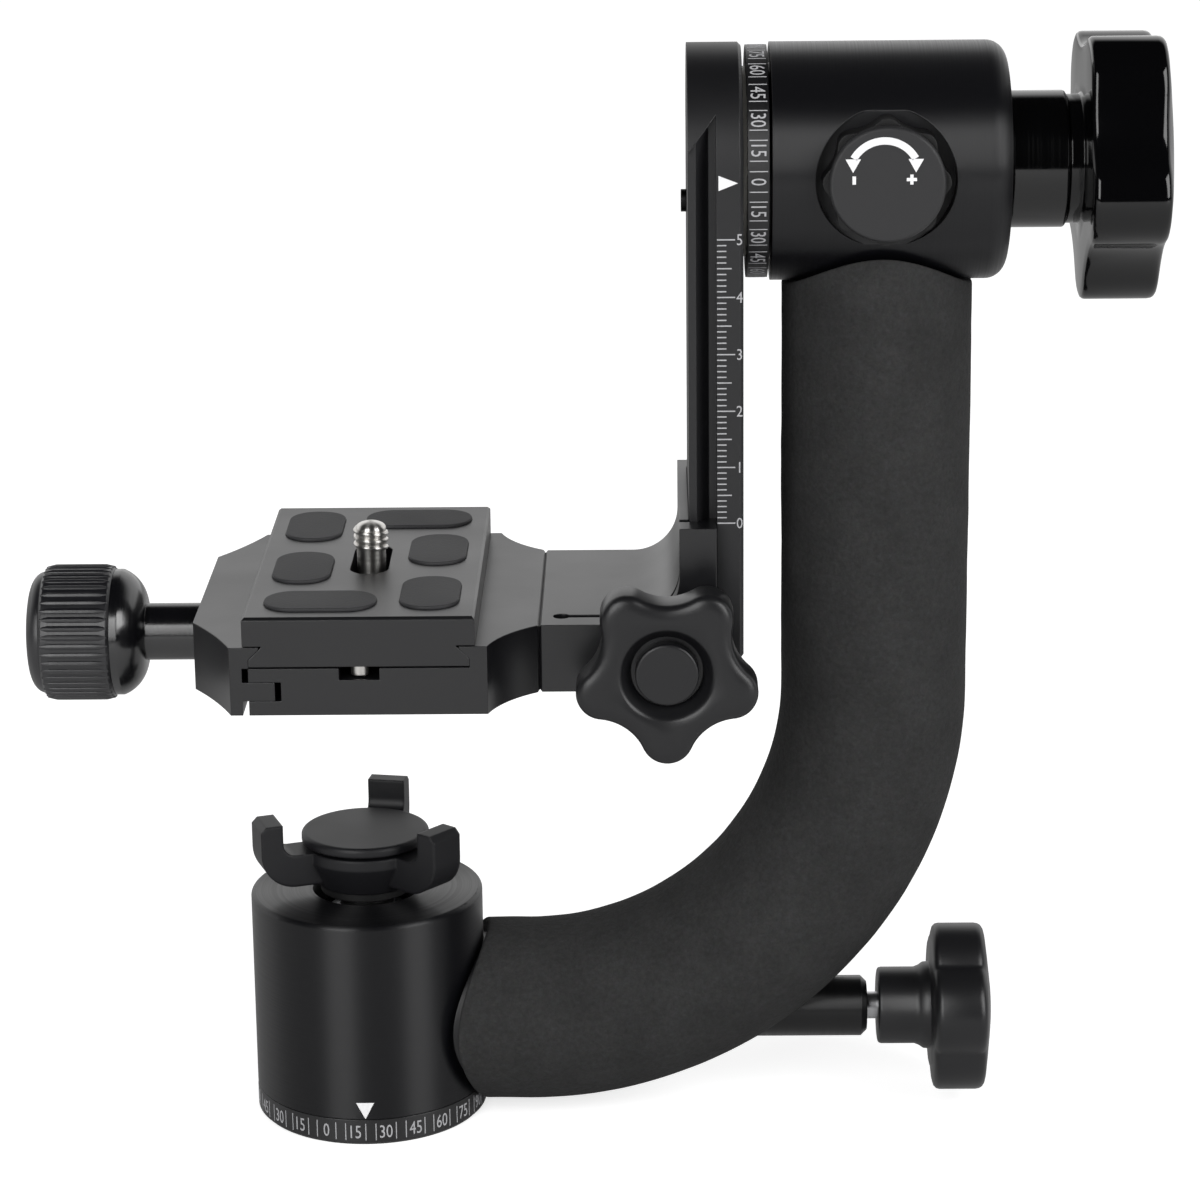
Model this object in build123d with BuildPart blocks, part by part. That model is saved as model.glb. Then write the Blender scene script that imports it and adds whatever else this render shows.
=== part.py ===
from build123d import *
import os
from math import cos, pi, radians, sin, sqrt

# Gimbal tripod head: a panning base, a bent side arm in a foam sleeve, a tilting hub with a swing
# arm, a platform that slides on the swing arm, and a plate clamp.
# Millimetres, +Z up. The origin is the mouth of the tripod socket, on the pan axis.
# +X runs from the pan axis to the upright arm. The hand knob of the platform faces -Y.

# ------------------------------------------------------------------ clearances
running_gap = 0.03      # radial, round a shaft or screw that turns
face_gap = 0.05         # between two flat faces, one of which moves
screw_gap = 0.05        # radial, round a screw in a plain hole
air_gap = 0.4           # between moving pieces that never touch

# ------------------------------------------------------------------ overall layout
arm_reach = 93.0        # pan axis to the upright leg of the arm
tilt_height = 176.9     # socket mouth to tilt axis
arm_height = 18.2       # socket mouth to the arm's lower leg

# ------------------------------------------------------------------ bearings, the same on both axes
bearing_bore = 8.5      # inner race, inside radius
bearing_radius = 13.0   # outer race, outside radius
bearing_width = 5.0
ball_radius = 1.5
ball_count = 14
groove_play = 0.02
race_wall = 1.25
bearing_shoulder = 10.0     # radius of the shaft's shoulder that the inner race sits on
circlip_width = 1.2
circlip_depth = 1.0
nut_thread = 7.0            # radius of the thread that holds the inner races
bearing_nut_radius = 9.6
bearing_nut_height = 3.6
race_ledge = 10.0           # hole past the bearings, which leaves a ledge for the outer race

# ------------------------------------------------------------------ panning base
housing_radius = 21.3
housing_top = 42.4
housing_rim = 0.8
ring_height = 5.0
ring_wall = 3.0
ring_chamfer = 0.6
seam = 0.15                 # between the scale ring and the housing
flange_radius = 15.0
flange_height = 2.5
flange_screw_circle = 11.6
flange_screw_count = 4
lower_bearing = 9.6         # height of the lower bearing's underside
upper_bearing = 29.0
bush_radius = 6.5
bush_flange_radius = 8.5
bush_flange_height = 1.2
bush_length = 12.0
socket_radius = 4.7625      # 3/8 inch thread
socket_relief = 3.0
spindle_tip = 49.4
spindle_thread = 5.0

# ------------------------------------------------------------------ pan tension nut
tension_washer_radius = 8.4
tension_washer_height = 1.5
nut_foot_radius = 9.0
nut_body_radius = 11.5
nut_cone_height = 5.4
nut_body_height = 7.4
nut_cap_radius = 11.7
nut_cap_height = 1.8
nut_cap_neck_radius = 9.6
nut_cap_neck_height = 0.6
finger_first_angle = 80.0
finger_count = 3
finger_width = 6.9
finger_reach = 20.5
finger_thickness = 4.1
finger_bend = 6.5
finger_rise = 6.0           # finger tip above the nut's own top face
finger_root_height = 6.0

# ------------------------------------------------------------------ side arm and its sleeve
tube_radius = 14.0
tube_wall = 2.5
spigot_gap = 0.05
spigot_reach = 8.7          # how far each housing's spigot stands into the tube
foam_thickness = 2.8
foam_gap = 0.02             # round the tube
foam_base_saddle = 29.0     # curve of the sleeve's cut end at the panning base
foam_top_saddle = 23.2      # and at the tilt hub
foam_base_gap = 0.8
foam_top_gap = 0.3
tube_screw_radius = 2.0
tube_screw_setback = 4.3    # from the end of the spigot

# ------------------------------------------------------------------ pan lock
lock_screw_radius = 2.5
lock_pad_length = 4.4
sleeve_radius = 5.6
sleeve_end = 92.3
sleeve_seat_depth = 5.7
sleeve_chamfer = 1.1
pan_knob_start = 94.3
pan_hub_radius = 7.1
pan_hub_length = 7.4
pan_neck_radius = 8.0
pan_neck_length = 2.4
pan_head_length = 11.1
pan_head_radius = 15.8
pan_head_valley = 12.6
pan_head_tip_arc = 6.2
pan_head_first_lobe = 160.0
pan_cap_radius = 5.4

# ------------------------------------------------------------------ tilt hub
tilt_radius = 20.7
tilt_hub_left = 19.0        # from the upright leg to the hub's shoulder
tilt_hub_right = 22.0
tilt_hub_round = 3.5
register_radius = 17.0
tilt_ring_radius = 20.2
tilt_ring_width = 3.7
tilt_ring_groove = 0.5
thrust_washer_width = 0.75
thrust_washer_radius = 16.5
tilt_bearing_inset = 2.4    # from the register's face to the first bearing
tilt_bearing_spread = 29.6  # between the two bearings' left faces
lock_washer_radius = 11.6
lock_washer_thickness = 1.8
lock_washer_recess = 1.6
stud_radius = 4.0
stud_depth = 20.0

# ------------------------------------------------------------------ tilt lock knob
tilt_collar_radius = 11.9
tilt_collar_length = 10.1
tilt_neck_radius = 11.2
tilt_neck_length = 2.7
tilt_head_length = 15.6
tilt_head_radius = 25.3
tilt_head_valley = 20.4
tilt_head_tip_arc = 9.0
tilt_head_first_lobe = 37.6
tilt_cap_radius = 8.4

# ------------------------------------------------------------------ tilt friction knob
friction_offset = 0.3       # from the upright leg's centre line
friction_pocket_radius = 12.0
friction_pocket_floor = 17.2
friction_screw_radius = 3.0
friction_pad_length = 3.4
disc_spring_count = 4
disc_spring_pitch = 0.8
disc_spring_thickness = 0.3
disc_spring_bore = 1.3
disc_spring_radius = 2.8
friction_knob_radius = 10.9
friction_knob_valley = 9.7
friction_knob_lobes = 8
friction_knob_tip_arc = 2.2
friction_knob_length = 4.4
friction_cap_radius = 9.9
friction_cap_thickness = 2.0

# ------------------------------------------------------------------ swing arm
swing_thickness = 9.45
swing_foot = 84.4           # from the tilt axis down to the arm's foot
rail_half_width = 19.0      # dovetail rail of the usual 38 mm camera plate size
rail_edge = 1.3
rail_slope = 2.2
rail_neck = 1.3
rail_top = 4.8              # from the tilt axis up to where the rail runs out at the front edge
rail_runout = 6.2
swing_edge = 0.6
shaft_socket_depth = 5.0
shaft_screw_radius = 1.5
shaft_screw_circle = 5.6
shaft_screw_count = 3
shaft_screw_length = 15.0
shaft_spigot_radius = 8.0
stop_screw_radius = 2.0
stop_screw_height = 1.0
stop_thread_radius = 1.2
stop_thread_length = 5.0
platform_travel = 50.0
lower_stop_height = 2.9     # from the arm's foot to the lower stop screw

# ------------------------------------------------------------------ platform
platform_bottom = 87.6
platform_top = 99.8
bracket_half_width = 24.0
bracket_length = 26.3       # from the rail's face to the seam with the clamp
upright_web = 1.7
upright_top = 117.0
upright_fillet = 8.2
slit_width = 1.6
slit_start = 22.5           # from the rail's face back to the slit's round end
slit_end_radius = 1.5
leaf_thickness = 4.5
platform_screw_radius = 3.0
platform_screw_setback = 4.1    # from the rail's face to the lock screw
platform_screw_height = 94.7
platform_screw_depth = 13.5
bracket_screw_radius = 2.5
bracket_screw_head = 4.25
bracket_screw_head_height = 5.0
bracket_screw_length = 30.5
bracket_screw_first = -3.0
bracket_screw_pitch = 17.0

# ------------------------------------------------------------------ platform lock knob
lock_collar_radius = 7.0
lock_collar_length = 4.5
lock_ring_radius = 7.6
lock_ring_thickness = 0.9
star_length = 8.5
star_radius = 16.3
star_valley = 12.2
star_tip_arc = 4.6
star_first_lobe = 270.0
star_well_radius = 6.3
star_well_depth = 3.2
star_well_slope = 1.4
star_cap_radius = 5.5
star_cap_drop = 0.5

# ------------------------------------------------------------------ plate clamp
clamp_half_length = 36.2
plate_offset = 30.7         # from the seam to the plate's centre line
clamp_bed = 96.0
clamp_waist = 8.65          # how far the body narrows on its way to the bracket
clamp_waist_sag = 1.3       # depth of the waist's hollow
seam_chamfer = 0.4          # along the seam between the body and the bracket
clamp_play = 0.05           # between the plate's dovetail and the jaws
jaw_outside = 30.1          # from the plate's centre line to the jaw's outer face
jaw_inside = 20.2
jaw_gap = 1.1
jaw_corner_run = 15.2
jaw_corner_depth = 7.8
jaw_corner_sag = 0.5
tongue_low = 90.2
tongue_high = 93.5
tongue_reach = 5.6
tongue_end_gap = 1.1
notch_half_width = 3.5
notch_depth = 2.1
notch_length = 11.2
clamp_screw_radius = 2.5
clamp_screw_height = 91.85
clamp_screw_engagement = 20.0
clamp_knob_radius = 12.3
clamp_knob_dome = 3.2
clamp_knob_grip = 12.6
clamp_dome_length = 5.6
clamp_dome_radius = 11.4
clamp_shaft_radius = 5.15
clamp_shaft_length = 10.8

# ------------------------------------------------------------------ camera plate
plate_half_width = 20.0
plate_top = 105.1
plate_flange_bottom = 100.0
plate_bottom = 96.3
plate_edge = 0.5
pad_recess = 1.0
pad_proud = 0.5
pad_width = 10.4
pad_length = 19.0
pad_corner = 5.0
pad_column = 11.8
pad_middle_row = 5.6
pad_end_row = 22.0
bar_width = 19.6
bar_length = 11.2
bar_corner = 5.2
bar_column = 7.1
bar_row = 26.7
camera_screw_radius = 3.175     # 1/4 inch thread
camera_screw_rise = 7.2
camera_neck_radius = 2.6
neck_rise = 0.5
camera_head_radius = 6.6
camera_head_height = 3.3
slot_gap = 0.25
slot_half_travel = 6.0
clip_radius = 5.0
clip_thickness = 0.8
guard_screw_radius = 1.6
guard_screw_drop = 2.0
guard_screw_hold = 3.0
guard_screw_inset = 2.7

# ------------------------------------------------------------------ worked-out places
ring_seat = housing_radius - ring_wall
housing_bottom = ring_height + seam
flange_top = ring_height + flange_height
tube_bore = tube_radius - tube_wall
foam_radius = tube_radius + foam_thickness
spigot_radius = tube_bore - spigot_gap
spigot_end = housing_radius + spigot_reach
bend_radius = arm_reach - spigot_end
tilt_spigot_end = tilt_height - tilt_radius - spigot_reach

hub_left = arm_reach - tilt_hub_left
hub_right = arm_reach + tilt_hub_right
register_face = hub_left - tilt_ring_width - tilt_ring_groove
swing_back = register_face - thrust_washer_width
swing_front = swing_back - swing_thickness
tilt_bearing = register_face + tilt_bearing_inset
far_tilt_bearing = tilt_bearing + tilt_bearing_spread
friction_x = arm_reach + friction_offset

foot_z = tilt_height - swing_foot
seam_x = swing_front - bracket_length
plate_x = seam_x - plate_offset
platform_screw_x = swing_front - platform_screw_setback

# Each line is a turning axis: x runs along it and y is the radius.
pan_line = Plane(origin=(0, 0, 0), x_dir=(0, 0, 1), z_dir=(0, 1, 0))
pan_lock_line = Plane(origin=(0, 0, arm_height), x_dir=(1, 0, 0), z_dir=(0, -1, 0))
tilt_line = Plane(origin=(0, 0, tilt_height), x_dir=(1, 0, 0), z_dir=(0, -1, 0))
clamp_line = Plane(origin=(0, 0, clamp_screw_height), x_dir=(1, 0, 0), z_dir=(0, -1, 0))
friction_line = Plane(origin=(friction_x, 0, tilt_height), x_dir=(0, -1, 0), z_dir=(-1, 0, 0))
platform_lock_line = Plane(
    origin=(platform_screw_x, 0, platform_screw_height), x_dir=(0, -1, 0), z_dir=(-1, 0, 0)
)


def axis_of(line):
    """Turning axis along a line's x direction."""
    return Axis(line.origin, line.x_dir)


def steps(*spans):
    """Half section of a stepped shaft or bore: each span is (start, end, radius)."""
    with BuildSketch() as section:
        for start, end, radius in spans:
            with Locations(((start + end) / 2, radius / 2)):
                Rectangle(end - start, radius)
    return section.sketch


def band(start, end, inner, outer):
    """Half section of a plain ring."""
    with BuildSketch() as section:
        with Locations(((start + end) / 2, (inner + outer) / 2)):
            Rectangle(end - start, outer - inner)
    return section.sketch


def outline(*points):
    """Closed outline with straight sides."""
    with BuildSketch() as section:
        with BuildLine():
            Polyline(*points, close=True)
        make_face()
    return section.sketch


def lobed(lobes, tip_radius, valley_radius, tip_arc, first_angle):
    """Outline of a hand knob: round lobes joined by hollows that run smoothly into them."""
    tip_centre = tip_radius - tip_arc
    half_step = pi / lobes
    reach = tip_centre * cos(half_step)
    spread = tip_centre**2 + valley_radius**2 - 2 * valley_radius * reach - tip_arc**2
    valley_arc = spread / (2 * (tip_arc + reach - valley_radius))
    join = tip_arc / (tip_arc + valley_arc)

    def polar(radius, angle):
        return Vector(radius * cos(angle), radius * sin(angle))

    with BuildSketch() as knob:
        with BuildLine():
            for lobe in range(lobes):
                tip_angle = radians(first_angle) + 2 * half_step * lobe
                tip = polar(tip_centre, tip_angle)
                before = polar(valley_radius + valley_arc, tip_angle - half_step)
                after = polar(valley_radius + valley_arc, tip_angle + half_step)
                following = polar(tip_centre, tip_angle + 2 * half_step)
                arc_start = tip + (before - tip) * join
                arc_end = tip + (after - tip) * join
                next_start = following + (after - following) * join
                ThreePointArc(arc_start, polar(tip_radius, tip_angle), arc_end)
                ThreePointArc(arc_end, polar(valley_radius, tip_angle + half_step), next_start)
        make_face()
    return knob.sketch


def countersunk_screw(radius, head_radius, length):
    """Countersunk screw with its head in the XY plane, pointing down, and a hexagon socket."""
    head_height = head_radius - radius
    with BuildPart() as screw:
        with BuildSketch(pan_line):
            add(outline((0, 0), (0, head_radius), (-head_height, radius), (-length, radius), (-length, 0)))
        revolve(axis=Axis.Z)
        with BuildSketch(Plane.XY):
            RegularPolygon(radius * 0.75, 6)
        extrude(amount=-head_height, mode=Mode.SUBTRACT)
    return screw.part


def cap_screw(radius, head_radius, head_height, length):
    """Socket cap screw with its head's seat in the XY plane, pointing down."""
    with BuildPart() as screw:
        with BuildSketch(pan_line):
            add(steps((0, head_height, head_radius), (-length, 0, radius)))
        revolve(axis=Axis.Z)
        with BuildSketch(Plane.XY.offset(head_height)):
            RegularPolygon(radius * 0.9, 6)
        extrude(amount=-head_height / 2, mode=Mode.SUBTRACT)
    return screw.part


def race_pair(line, first, second, inner, outer):
    """Two races of one radius on a line, each with a groove for the balls."""
    pitch = (bearing_bore + bearing_radius) / 2
    with BuildPart() as races:
        for start in (first, second):
            with BuildSketch(line):
                add(band(start, start + bearing_width, inner, outer))
                with Locations((start + bearing_width / 2, pitch)):
                    Circle(ball_radius + groove_play, mode=Mode.SUBTRACT)
            revolve(axis=axis_of(line))
    return races.part


def ball_pair(line, first, second):
    """The balls of two bearings on a line."""
    pitch = (bearing_bore + bearing_radius) / 2
    across = Plane(origin=line.origin, x_dir=line.y_dir, z_dir=line.x_dir)
    with BuildPart() as balls:
        for start in (first, second):
            with Locations(across.offset(start + bearing_width / 2)):
                with PolarLocations(pitch, ball_count):
                    Sphere(ball_radius)
    return balls.part


def circlip(line, start):
    """Open retaining ring in the groove beside a bearing."""
    opening = 2.4
    clip_width = bearing_radius + circlip_depth
    with BuildPart() as clip:
        with BuildSketch(line):
            add(band(start, start + circlip_width, bearing_radius - 2 * circlip_depth, clip_width))
        revolve(axis=axis_of(line))
        with BuildSketch(line):
            with Locations((start + circlip_width / 2, -clip_width / 2)):
                Rectangle(2 * circlip_width, clip_width)
        extrude(amount=opening / 2, both=True, mode=Mode.SUBTRACT)
    return clip.part


def bearing_nut(line, start):
    """Slotted ring nut that holds the inner races."""
    slot_width = 2.0
    slot_depth = 1.2
    across = Plane(origin=line.origin, x_dir=line.y_dir, z_dir=line.x_dir)
    with BuildPart() as nut:
        with BuildSketch(line):
            add(band(start, start + bearing_nut_height, nut_thread, bearing_nut_radius))
        revolve(axis=axis_of(line))
        with BuildSketch(across.offset(start + bearing_nut_height)):
            with PolarLocations(bearing_nut_radius, 4):
                Rectangle(2 * slot_depth, slot_width)
        extrude(amount=-slot_depth, mode=Mode.SUBTRACT)
    return nut.part


def race_spacer(line, start, end, side_hole_line, hole_radius):
    """Sleeve between two outer races, with a side hole for a lock pad."""
    with BuildPart() as spacer:
        with BuildSketch(line):
            add(band(start, end, bearing_radius - race_wall, bearing_radius))
        revolve(axis=axis_of(line))
        with BuildSketch(side_hole_line):
            add(steps((0, bearing_radius + 1, hole_radius)))
        revolve(axis=axis_of(side_hole_line), mode=Mode.SUBTRACT)
    return spacer.part


# ================================================================== panning base, fixed to the tripod
with BuildPart() as base_plate:
    with BuildSketch(pan_line):
        add(steps((0, ring_height, ring_seat)))
    revolve(axis=Axis.Z)
    with BuildSketch(pan_line):
        add(steps((0, ring_height, bush_radius), (0, bush_flange_height, bush_flange_radius)))
    revolve(axis=Axis.Z, mode=Mode.SUBTRACT)
    with Locations(Plane(origin=(0, 0, 0), z_dir=(0, 0, -1))):
        with PolarLocations(flange_screw_circle, flange_screw_count, start_angle=45):
            CounterSinkHole(shaft_screw_radius, 2 * shaft_screw_radius, ring_height, 90)

with BuildPart() as pan_scale_ring:
    with BuildSketch(pan_line):
        add(band(0, ring_height, ring_seat, housing_radius))
    revolve(axis=Axis.Z)
    outer_rims = pan_scale_ring.edges().filter_by(GeomType.CIRCLE).group_by(SortBy.RADIUS)[-1]
    chamfer(outer_rims.sort_by(Axis.Z)[0], ring_chamfer)

with BuildPart() as tripod_bush:
    with BuildSketch(pan_line):
        add(steps((0, bush_length, bush_radius), (0, bush_flange_height, bush_flange_radius)))
    revolve(axis=Axis.Z)
    with BuildSketch(pan_line):
        add(steps((0, bush_length, socket_radius)))
    revolve(axis=Axis.Z, mode=Mode.SUBTRACT)

race_end = upper_bearing + bearing_width
with BuildPart() as pan_spindle:
    with BuildSketch(pan_line):
        add(
            steps(
                (ring_height, flange_top, flange_radius),
                (flange_top, lower_bearing, bearing_shoulder),
                (lower_bearing, race_end, bearing_bore),
                (race_end, race_end + bearing_nut_height + 1, nut_thread),
                (race_end, spindle_tip, spindle_thread),
            )
        )
    revolve(axis=Axis.Z)
    chamfer(pan_spindle.edges().group_by(Axis.Z)[-1], 1)
    with BuildSketch(pan_line):
        add(steps((ring_height, bush_length, bush_radius), (ring_height, bush_length + socket_relief, 4)))
    revolve(axis=Axis.Z, mode=Mode.SUBTRACT)
    with Locations(Plane(origin=(0, 0, ring_height), z_dir=(0, 0, -1))):
        with PolarLocations(flange_screw_circle, flange_screw_count, start_angle=45):
            Hole(shaft_screw_radius, flange_height)

with BuildPart() as spindle_screws:
    with Locations(Plane(origin=(0, 0, 0), z_dir=(0, 0, -1))):
        with PolarLocations(flange_screw_circle, flange_screw_count, start_angle=45):
            add(countersunk_screw(shaft_screw_radius, 2 * shaft_screw_radius, flange_top - 0.3))

with BuildPart() as pan_inner_races:
    add(race_pair(pan_line, lower_bearing, upper_bearing, bearing_bore, bearing_bore + race_wall))

with BuildPart() as pan_bearing_nut:
    add(bearing_nut(pan_line, race_end))

# ================================================================== panning housing, on the arm
with BuildPart() as pan_housing:
    with BuildSketch(pan_line):
        add(steps((housing_bottom, housing_top, housing_radius)))
    revolve(axis=Axis.Z)
    fillet(pan_housing.edges().group_by(Axis.Z)[-1], housing_rim)
    with BuildSketch(pan_lock_line):
        add(steps((0, spigot_end, spigot_radius)))
    revolve(axis=axis_of(pan_lock_line))
    with BuildSketch(pan_line):
        add(
            steps(
                (housing_bottom, flange_top + air_gap, flange_radius + air_gap),
                (housing_bottom, race_end, bearing_radius),
                (lower_bearing - circlip_width, lower_bearing, bearing_radius + circlip_depth),
                (race_end, housing_top, race_ledge),
            )
        )
    revolve(axis=Axis.Z, mode=Mode.SUBTRACT)
    with BuildSketch(pan_lock_line):
        add(
            steps(
                (bearing_bore, spigot_end, lock_screw_radius + running_gap),
                (spigot_end - sleeve_seat_depth, spigot_end, sleeve_radius),
            )
        )
    revolve(axis=axis_of(pan_lock_line), mode=Mode.SUBTRACT)
    with BuildSketch(Plane.XZ):
        with Locations((spigot_end - tube_screw_setback, arm_height)):
            Circle(tube_screw_radius)
    extrude(amount=tube_radius, both=True, mode=Mode.SUBTRACT)

with BuildPart() as outer_races:
    outer_wall = bearing_radius - race_wall
    add(race_pair(pan_line, lower_bearing, upper_bearing, outer_wall, bearing_radius))
    add(race_pair(tilt_line, tilt_bearing, far_tilt_bearing, outer_wall, bearing_radius))

with BuildPart() as bearing_balls:
    add(ball_pair(pan_line, lower_bearing, upper_bearing))
    add(ball_pair(tilt_line, tilt_bearing, far_tilt_bearing))

with BuildPart() as pan_bearing_spacer:
    spacer_start = lower_bearing + bearing_width
    add(race_spacer(pan_line, spacer_start, upper_bearing, pan_lock_line, lock_screw_radius + air_gap))

with BuildPart() as circlips:
    add(circlip(pan_line, lower_bearing - circlip_width))
    add(circlip(tilt_line, tilt_bearing - circlip_width))

# ================================================================== pan tension nut
washer_bottom = housing_top + face_gap
washer_top = washer_bottom + tension_washer_height
with BuildPart() as tension_washer:
    with BuildSketch(pan_line):
        add(band(washer_bottom, washer_top, spindle_thread + running_gap, tension_washer_radius))
    revolve(axis=Axis.Z)

nut_bottom = washer_top + face_gap
nut_top = nut_bottom + nut_body_height
finger_top = nut_top + finger_rise
finger_root = nut_top - finger_root_height
with BuildPart() as tension_nut:
    with BuildSketch(pan_line):
        add(
            outline(
                (nut_bottom, 0),
                (nut_bottom, nut_foot_radius),
                (nut_bottom + nut_cone_height, nut_body_radius),
                (nut_top, nut_body_radius),
                (nut_top, 0),
            )
        )
    revolve(axis=Axis.Z)
    for finger in range(finger_count):
        angle = radians(finger_first_angle) + 2 * pi * finger / finger_count
        radial = Plane(origin=(0, 0, 0), x_dir=(cos(angle), sin(angle), 0), z_dir=(sin(angle), -cos(angle), 0))
        inner_face = finger_reach - finger_thickness
        inner_bend = finger_bend - finger_thickness
        with BuildSketch(radial):
            with BuildLine():
                Line((nut_body_radius / 2, finger_root), (finger_reach - finger_bend, finger_root))
                RadiusArc(
                    (finger_reach - finger_bend, finger_root),
                    (finger_reach, finger_root + finger_bend),
                    -finger_bend,
                )
                Polyline(
                    (finger_reach, finger_root + finger_bend),
                    (finger_reach, finger_top - finger_thickness / 4),
                    (finger_reach - finger_thickness / 4, finger_top),
                    (inner_face, finger_top),
                    (inner_face, nut_top + inner_bend),
                )
                RadiusArc((inner_face, nut_top + inner_bend), (inner_face - inner_bend, nut_top), inner_bend)
                Polyline(
                    (inner_face - inner_bend, nut_top),
                    (nut_body_radius / 2, nut_top),
                    (nut_body_radius / 2, finger_root),
                )
            make_face()
        extrude(amount=finger_width / 2, both=True)
    with BuildSketch(pan_line):
        add(steps((nut_bottom, nut_top, spindle_thread + running_gap)))
    revolve(axis=Axis.Z, mode=Mode.SUBTRACT)

cap_bottom = nut_top + nut_cap_neck_height
with BuildPart() as tension_nut_cap:
    with BuildSketch(pan_line):
        add(
            steps(
                (nut_top, cap_bottom, nut_cap_neck_radius),
                (cap_bottom, cap_bottom + nut_cap_height, nut_cap_radius),
            )
        )
    revolve(axis=Axis.Z)
    fillet(tension_nut_cap.edges().group_by(Axis.Z)[-1], nut_cap_height / 2.5)
    fillet(tension_nut_cap.edges().filter_by(GeomType.CIRCLE).group_by(SortBy.RADIUS)[-1], nut_cap_height / 6)

# ================================================================== bent side arm
tube_start = sqrt(housing_radius**2 - tube_radius**2) - 0.5
tube_end = tilt_height - sqrt(tilt_radius**2 - tube_radius**2) + 0.5
with BuildLine(Plane.XZ) as arm_route:
    lower_leg = Line((tube_start, arm_height), (arm_reach - bend_radius, arm_height))
    elbow = JernArc(start=lower_leg @ 1, tangent=lower_leg % 1, radius=bend_radius, arc_size=90)
    Line(elbow @ 1, (arm_reach, tube_end))

tube_screw_reach = sqrt(tube_radius**2 - tube_screw_radius**2) - face_gap
with BuildPart() as arm_tube:
    with BuildSketch(Plane.YZ.offset(tube_start)):
        with Locations((0, arm_height)):
            Circle(tube_radius)
            Circle(tube_bore, mode=Mode.SUBTRACT)
    sweep(path=arm_route.line)
    with BuildSketch(pan_line):
        add(steps((arm_height - 2 * tube_radius, arm_height + 2 * tube_radius, housing_radius)))
    revolve(axis=Axis.Z, mode=Mode.SUBTRACT)
    with BuildSketch(tilt_line):
        add(steps((hub_left, hub_right, tilt_radius)))
    revolve(axis=axis_of(tilt_line), mode=Mode.SUBTRACT)
    with BuildSketch(pan_lock_line):
        add(steps((arm_reach - bend_radius, arm_reach + tube_radius, sleeve_radius)))
    revolve(axis=axis_of(pan_lock_line), mode=Mode.SUBTRACT)
    with BuildSketch(Plane.XZ):
        with Locations(
            (spigot_end - tube_screw_setback, arm_height), (arm_reach, tilt_spigot_end + tube_screw_setback)
        ):
            Circle(tube_screw_radius)
    extrude(amount=2 * tube_radius, both=True, mode=Mode.SUBTRACT)

with BuildPart() as foam_sleeve:
    with BuildSketch(Plane.YZ.offset(tube_start)):
        with Locations((0, arm_height)):
            Circle(foam_radius)
            Circle(tube_radius + foam_gap, mode=Mode.SUBTRACT)
    sweep(path=arm_route.line)
    base_cut = Plane(origin=(housing_radius + foam_base_gap - foam_base_saddle, 0, 0))
    with BuildSketch(base_cut.offset(arm_height - 2 * foam_radius)):
        Circle(foam_base_saddle)
    extrude(amount=4 * foam_radius, mode=Mode.SUBTRACT)
    top_cut = tilt_height - tilt_radius - foam_top_gap + foam_top_saddle
    with BuildSketch(Plane.YZ.offset(arm_reach - 2 * foam_radius)):
        with Locations((0, top_cut)):
            Circle(foam_top_saddle)
    extrude(amount=4 * foam_radius, mode=Mode.SUBTRACT)
    with BuildSketch(pan_lock_line):
        add(steps((arm_reach - bend_radius, arm_reach + foam_radius, sleeve_radius + screw_gap)))
    revolve(axis=axis_of(pan_lock_line), mode=Mode.SUBTRACT)

with BuildPart() as tube_screws:
    with BuildSketch(Plane.XZ.offset(sleeve_radius + air_gap)):
        with Locations(
            (spigot_end - tube_screw_setback, arm_height), (arm_reach, tilt_spigot_end + tube_screw_setback)
        ):
            Circle(tube_screw_radius)
    extrude(amount=tube_screw_reach - sleeve_radius - air_gap)
    mirror(about=Plane.XZ)

# ================================================================== pan lock
with BuildPart() as pan_lock_sleeve:
    sleeve_start = spigot_end - sleeve_seat_depth
    with BuildSketch(pan_lock_line):
        add(band(sleeve_start, sleeve_end, lock_screw_radius + running_gap, sleeve_radius))
    revolve(axis=axis_of(pan_lock_line))
    end_edges = pan_lock_sleeve.edges().group_by(Axis.X)[-1]
    chamfer(end_edges.sort_by(SortBy.RADIUS)[-1], sleeve_chamfer)

pan_pad_end = bearing_bore + lock_pad_length
with BuildPart() as pan_lock_pad:
    with BuildSketch(pan_lock_line):
        add(steps((0, pan_pad_end, lock_screw_radius)))
    revolve(axis=axis_of(pan_lock_line))
    with BuildSketch(pan_line):
        add(steps((lower_bearing, upper_bearing, bearing_bore + face_gap)))
    revolve(axis=Axis.Z, mode=Mode.SUBTRACT)

pan_head_start = pan_knob_start + pan_hub_length + pan_neck_length
pan_head_end = pan_head_start + pan_head_length
with BuildPart() as pan_lock_screw:
    with BuildSketch(pan_lock_line):
        add(steps((pan_pad_end + face_gap, pan_head_start + pan_head_length / 3, lock_screw_radius)))
    revolve(axis=axis_of(pan_lock_line))
    chamfer(pan_lock_screw.edges().sort_by(Axis.X)[0], lock_screw_radius / 5)

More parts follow.
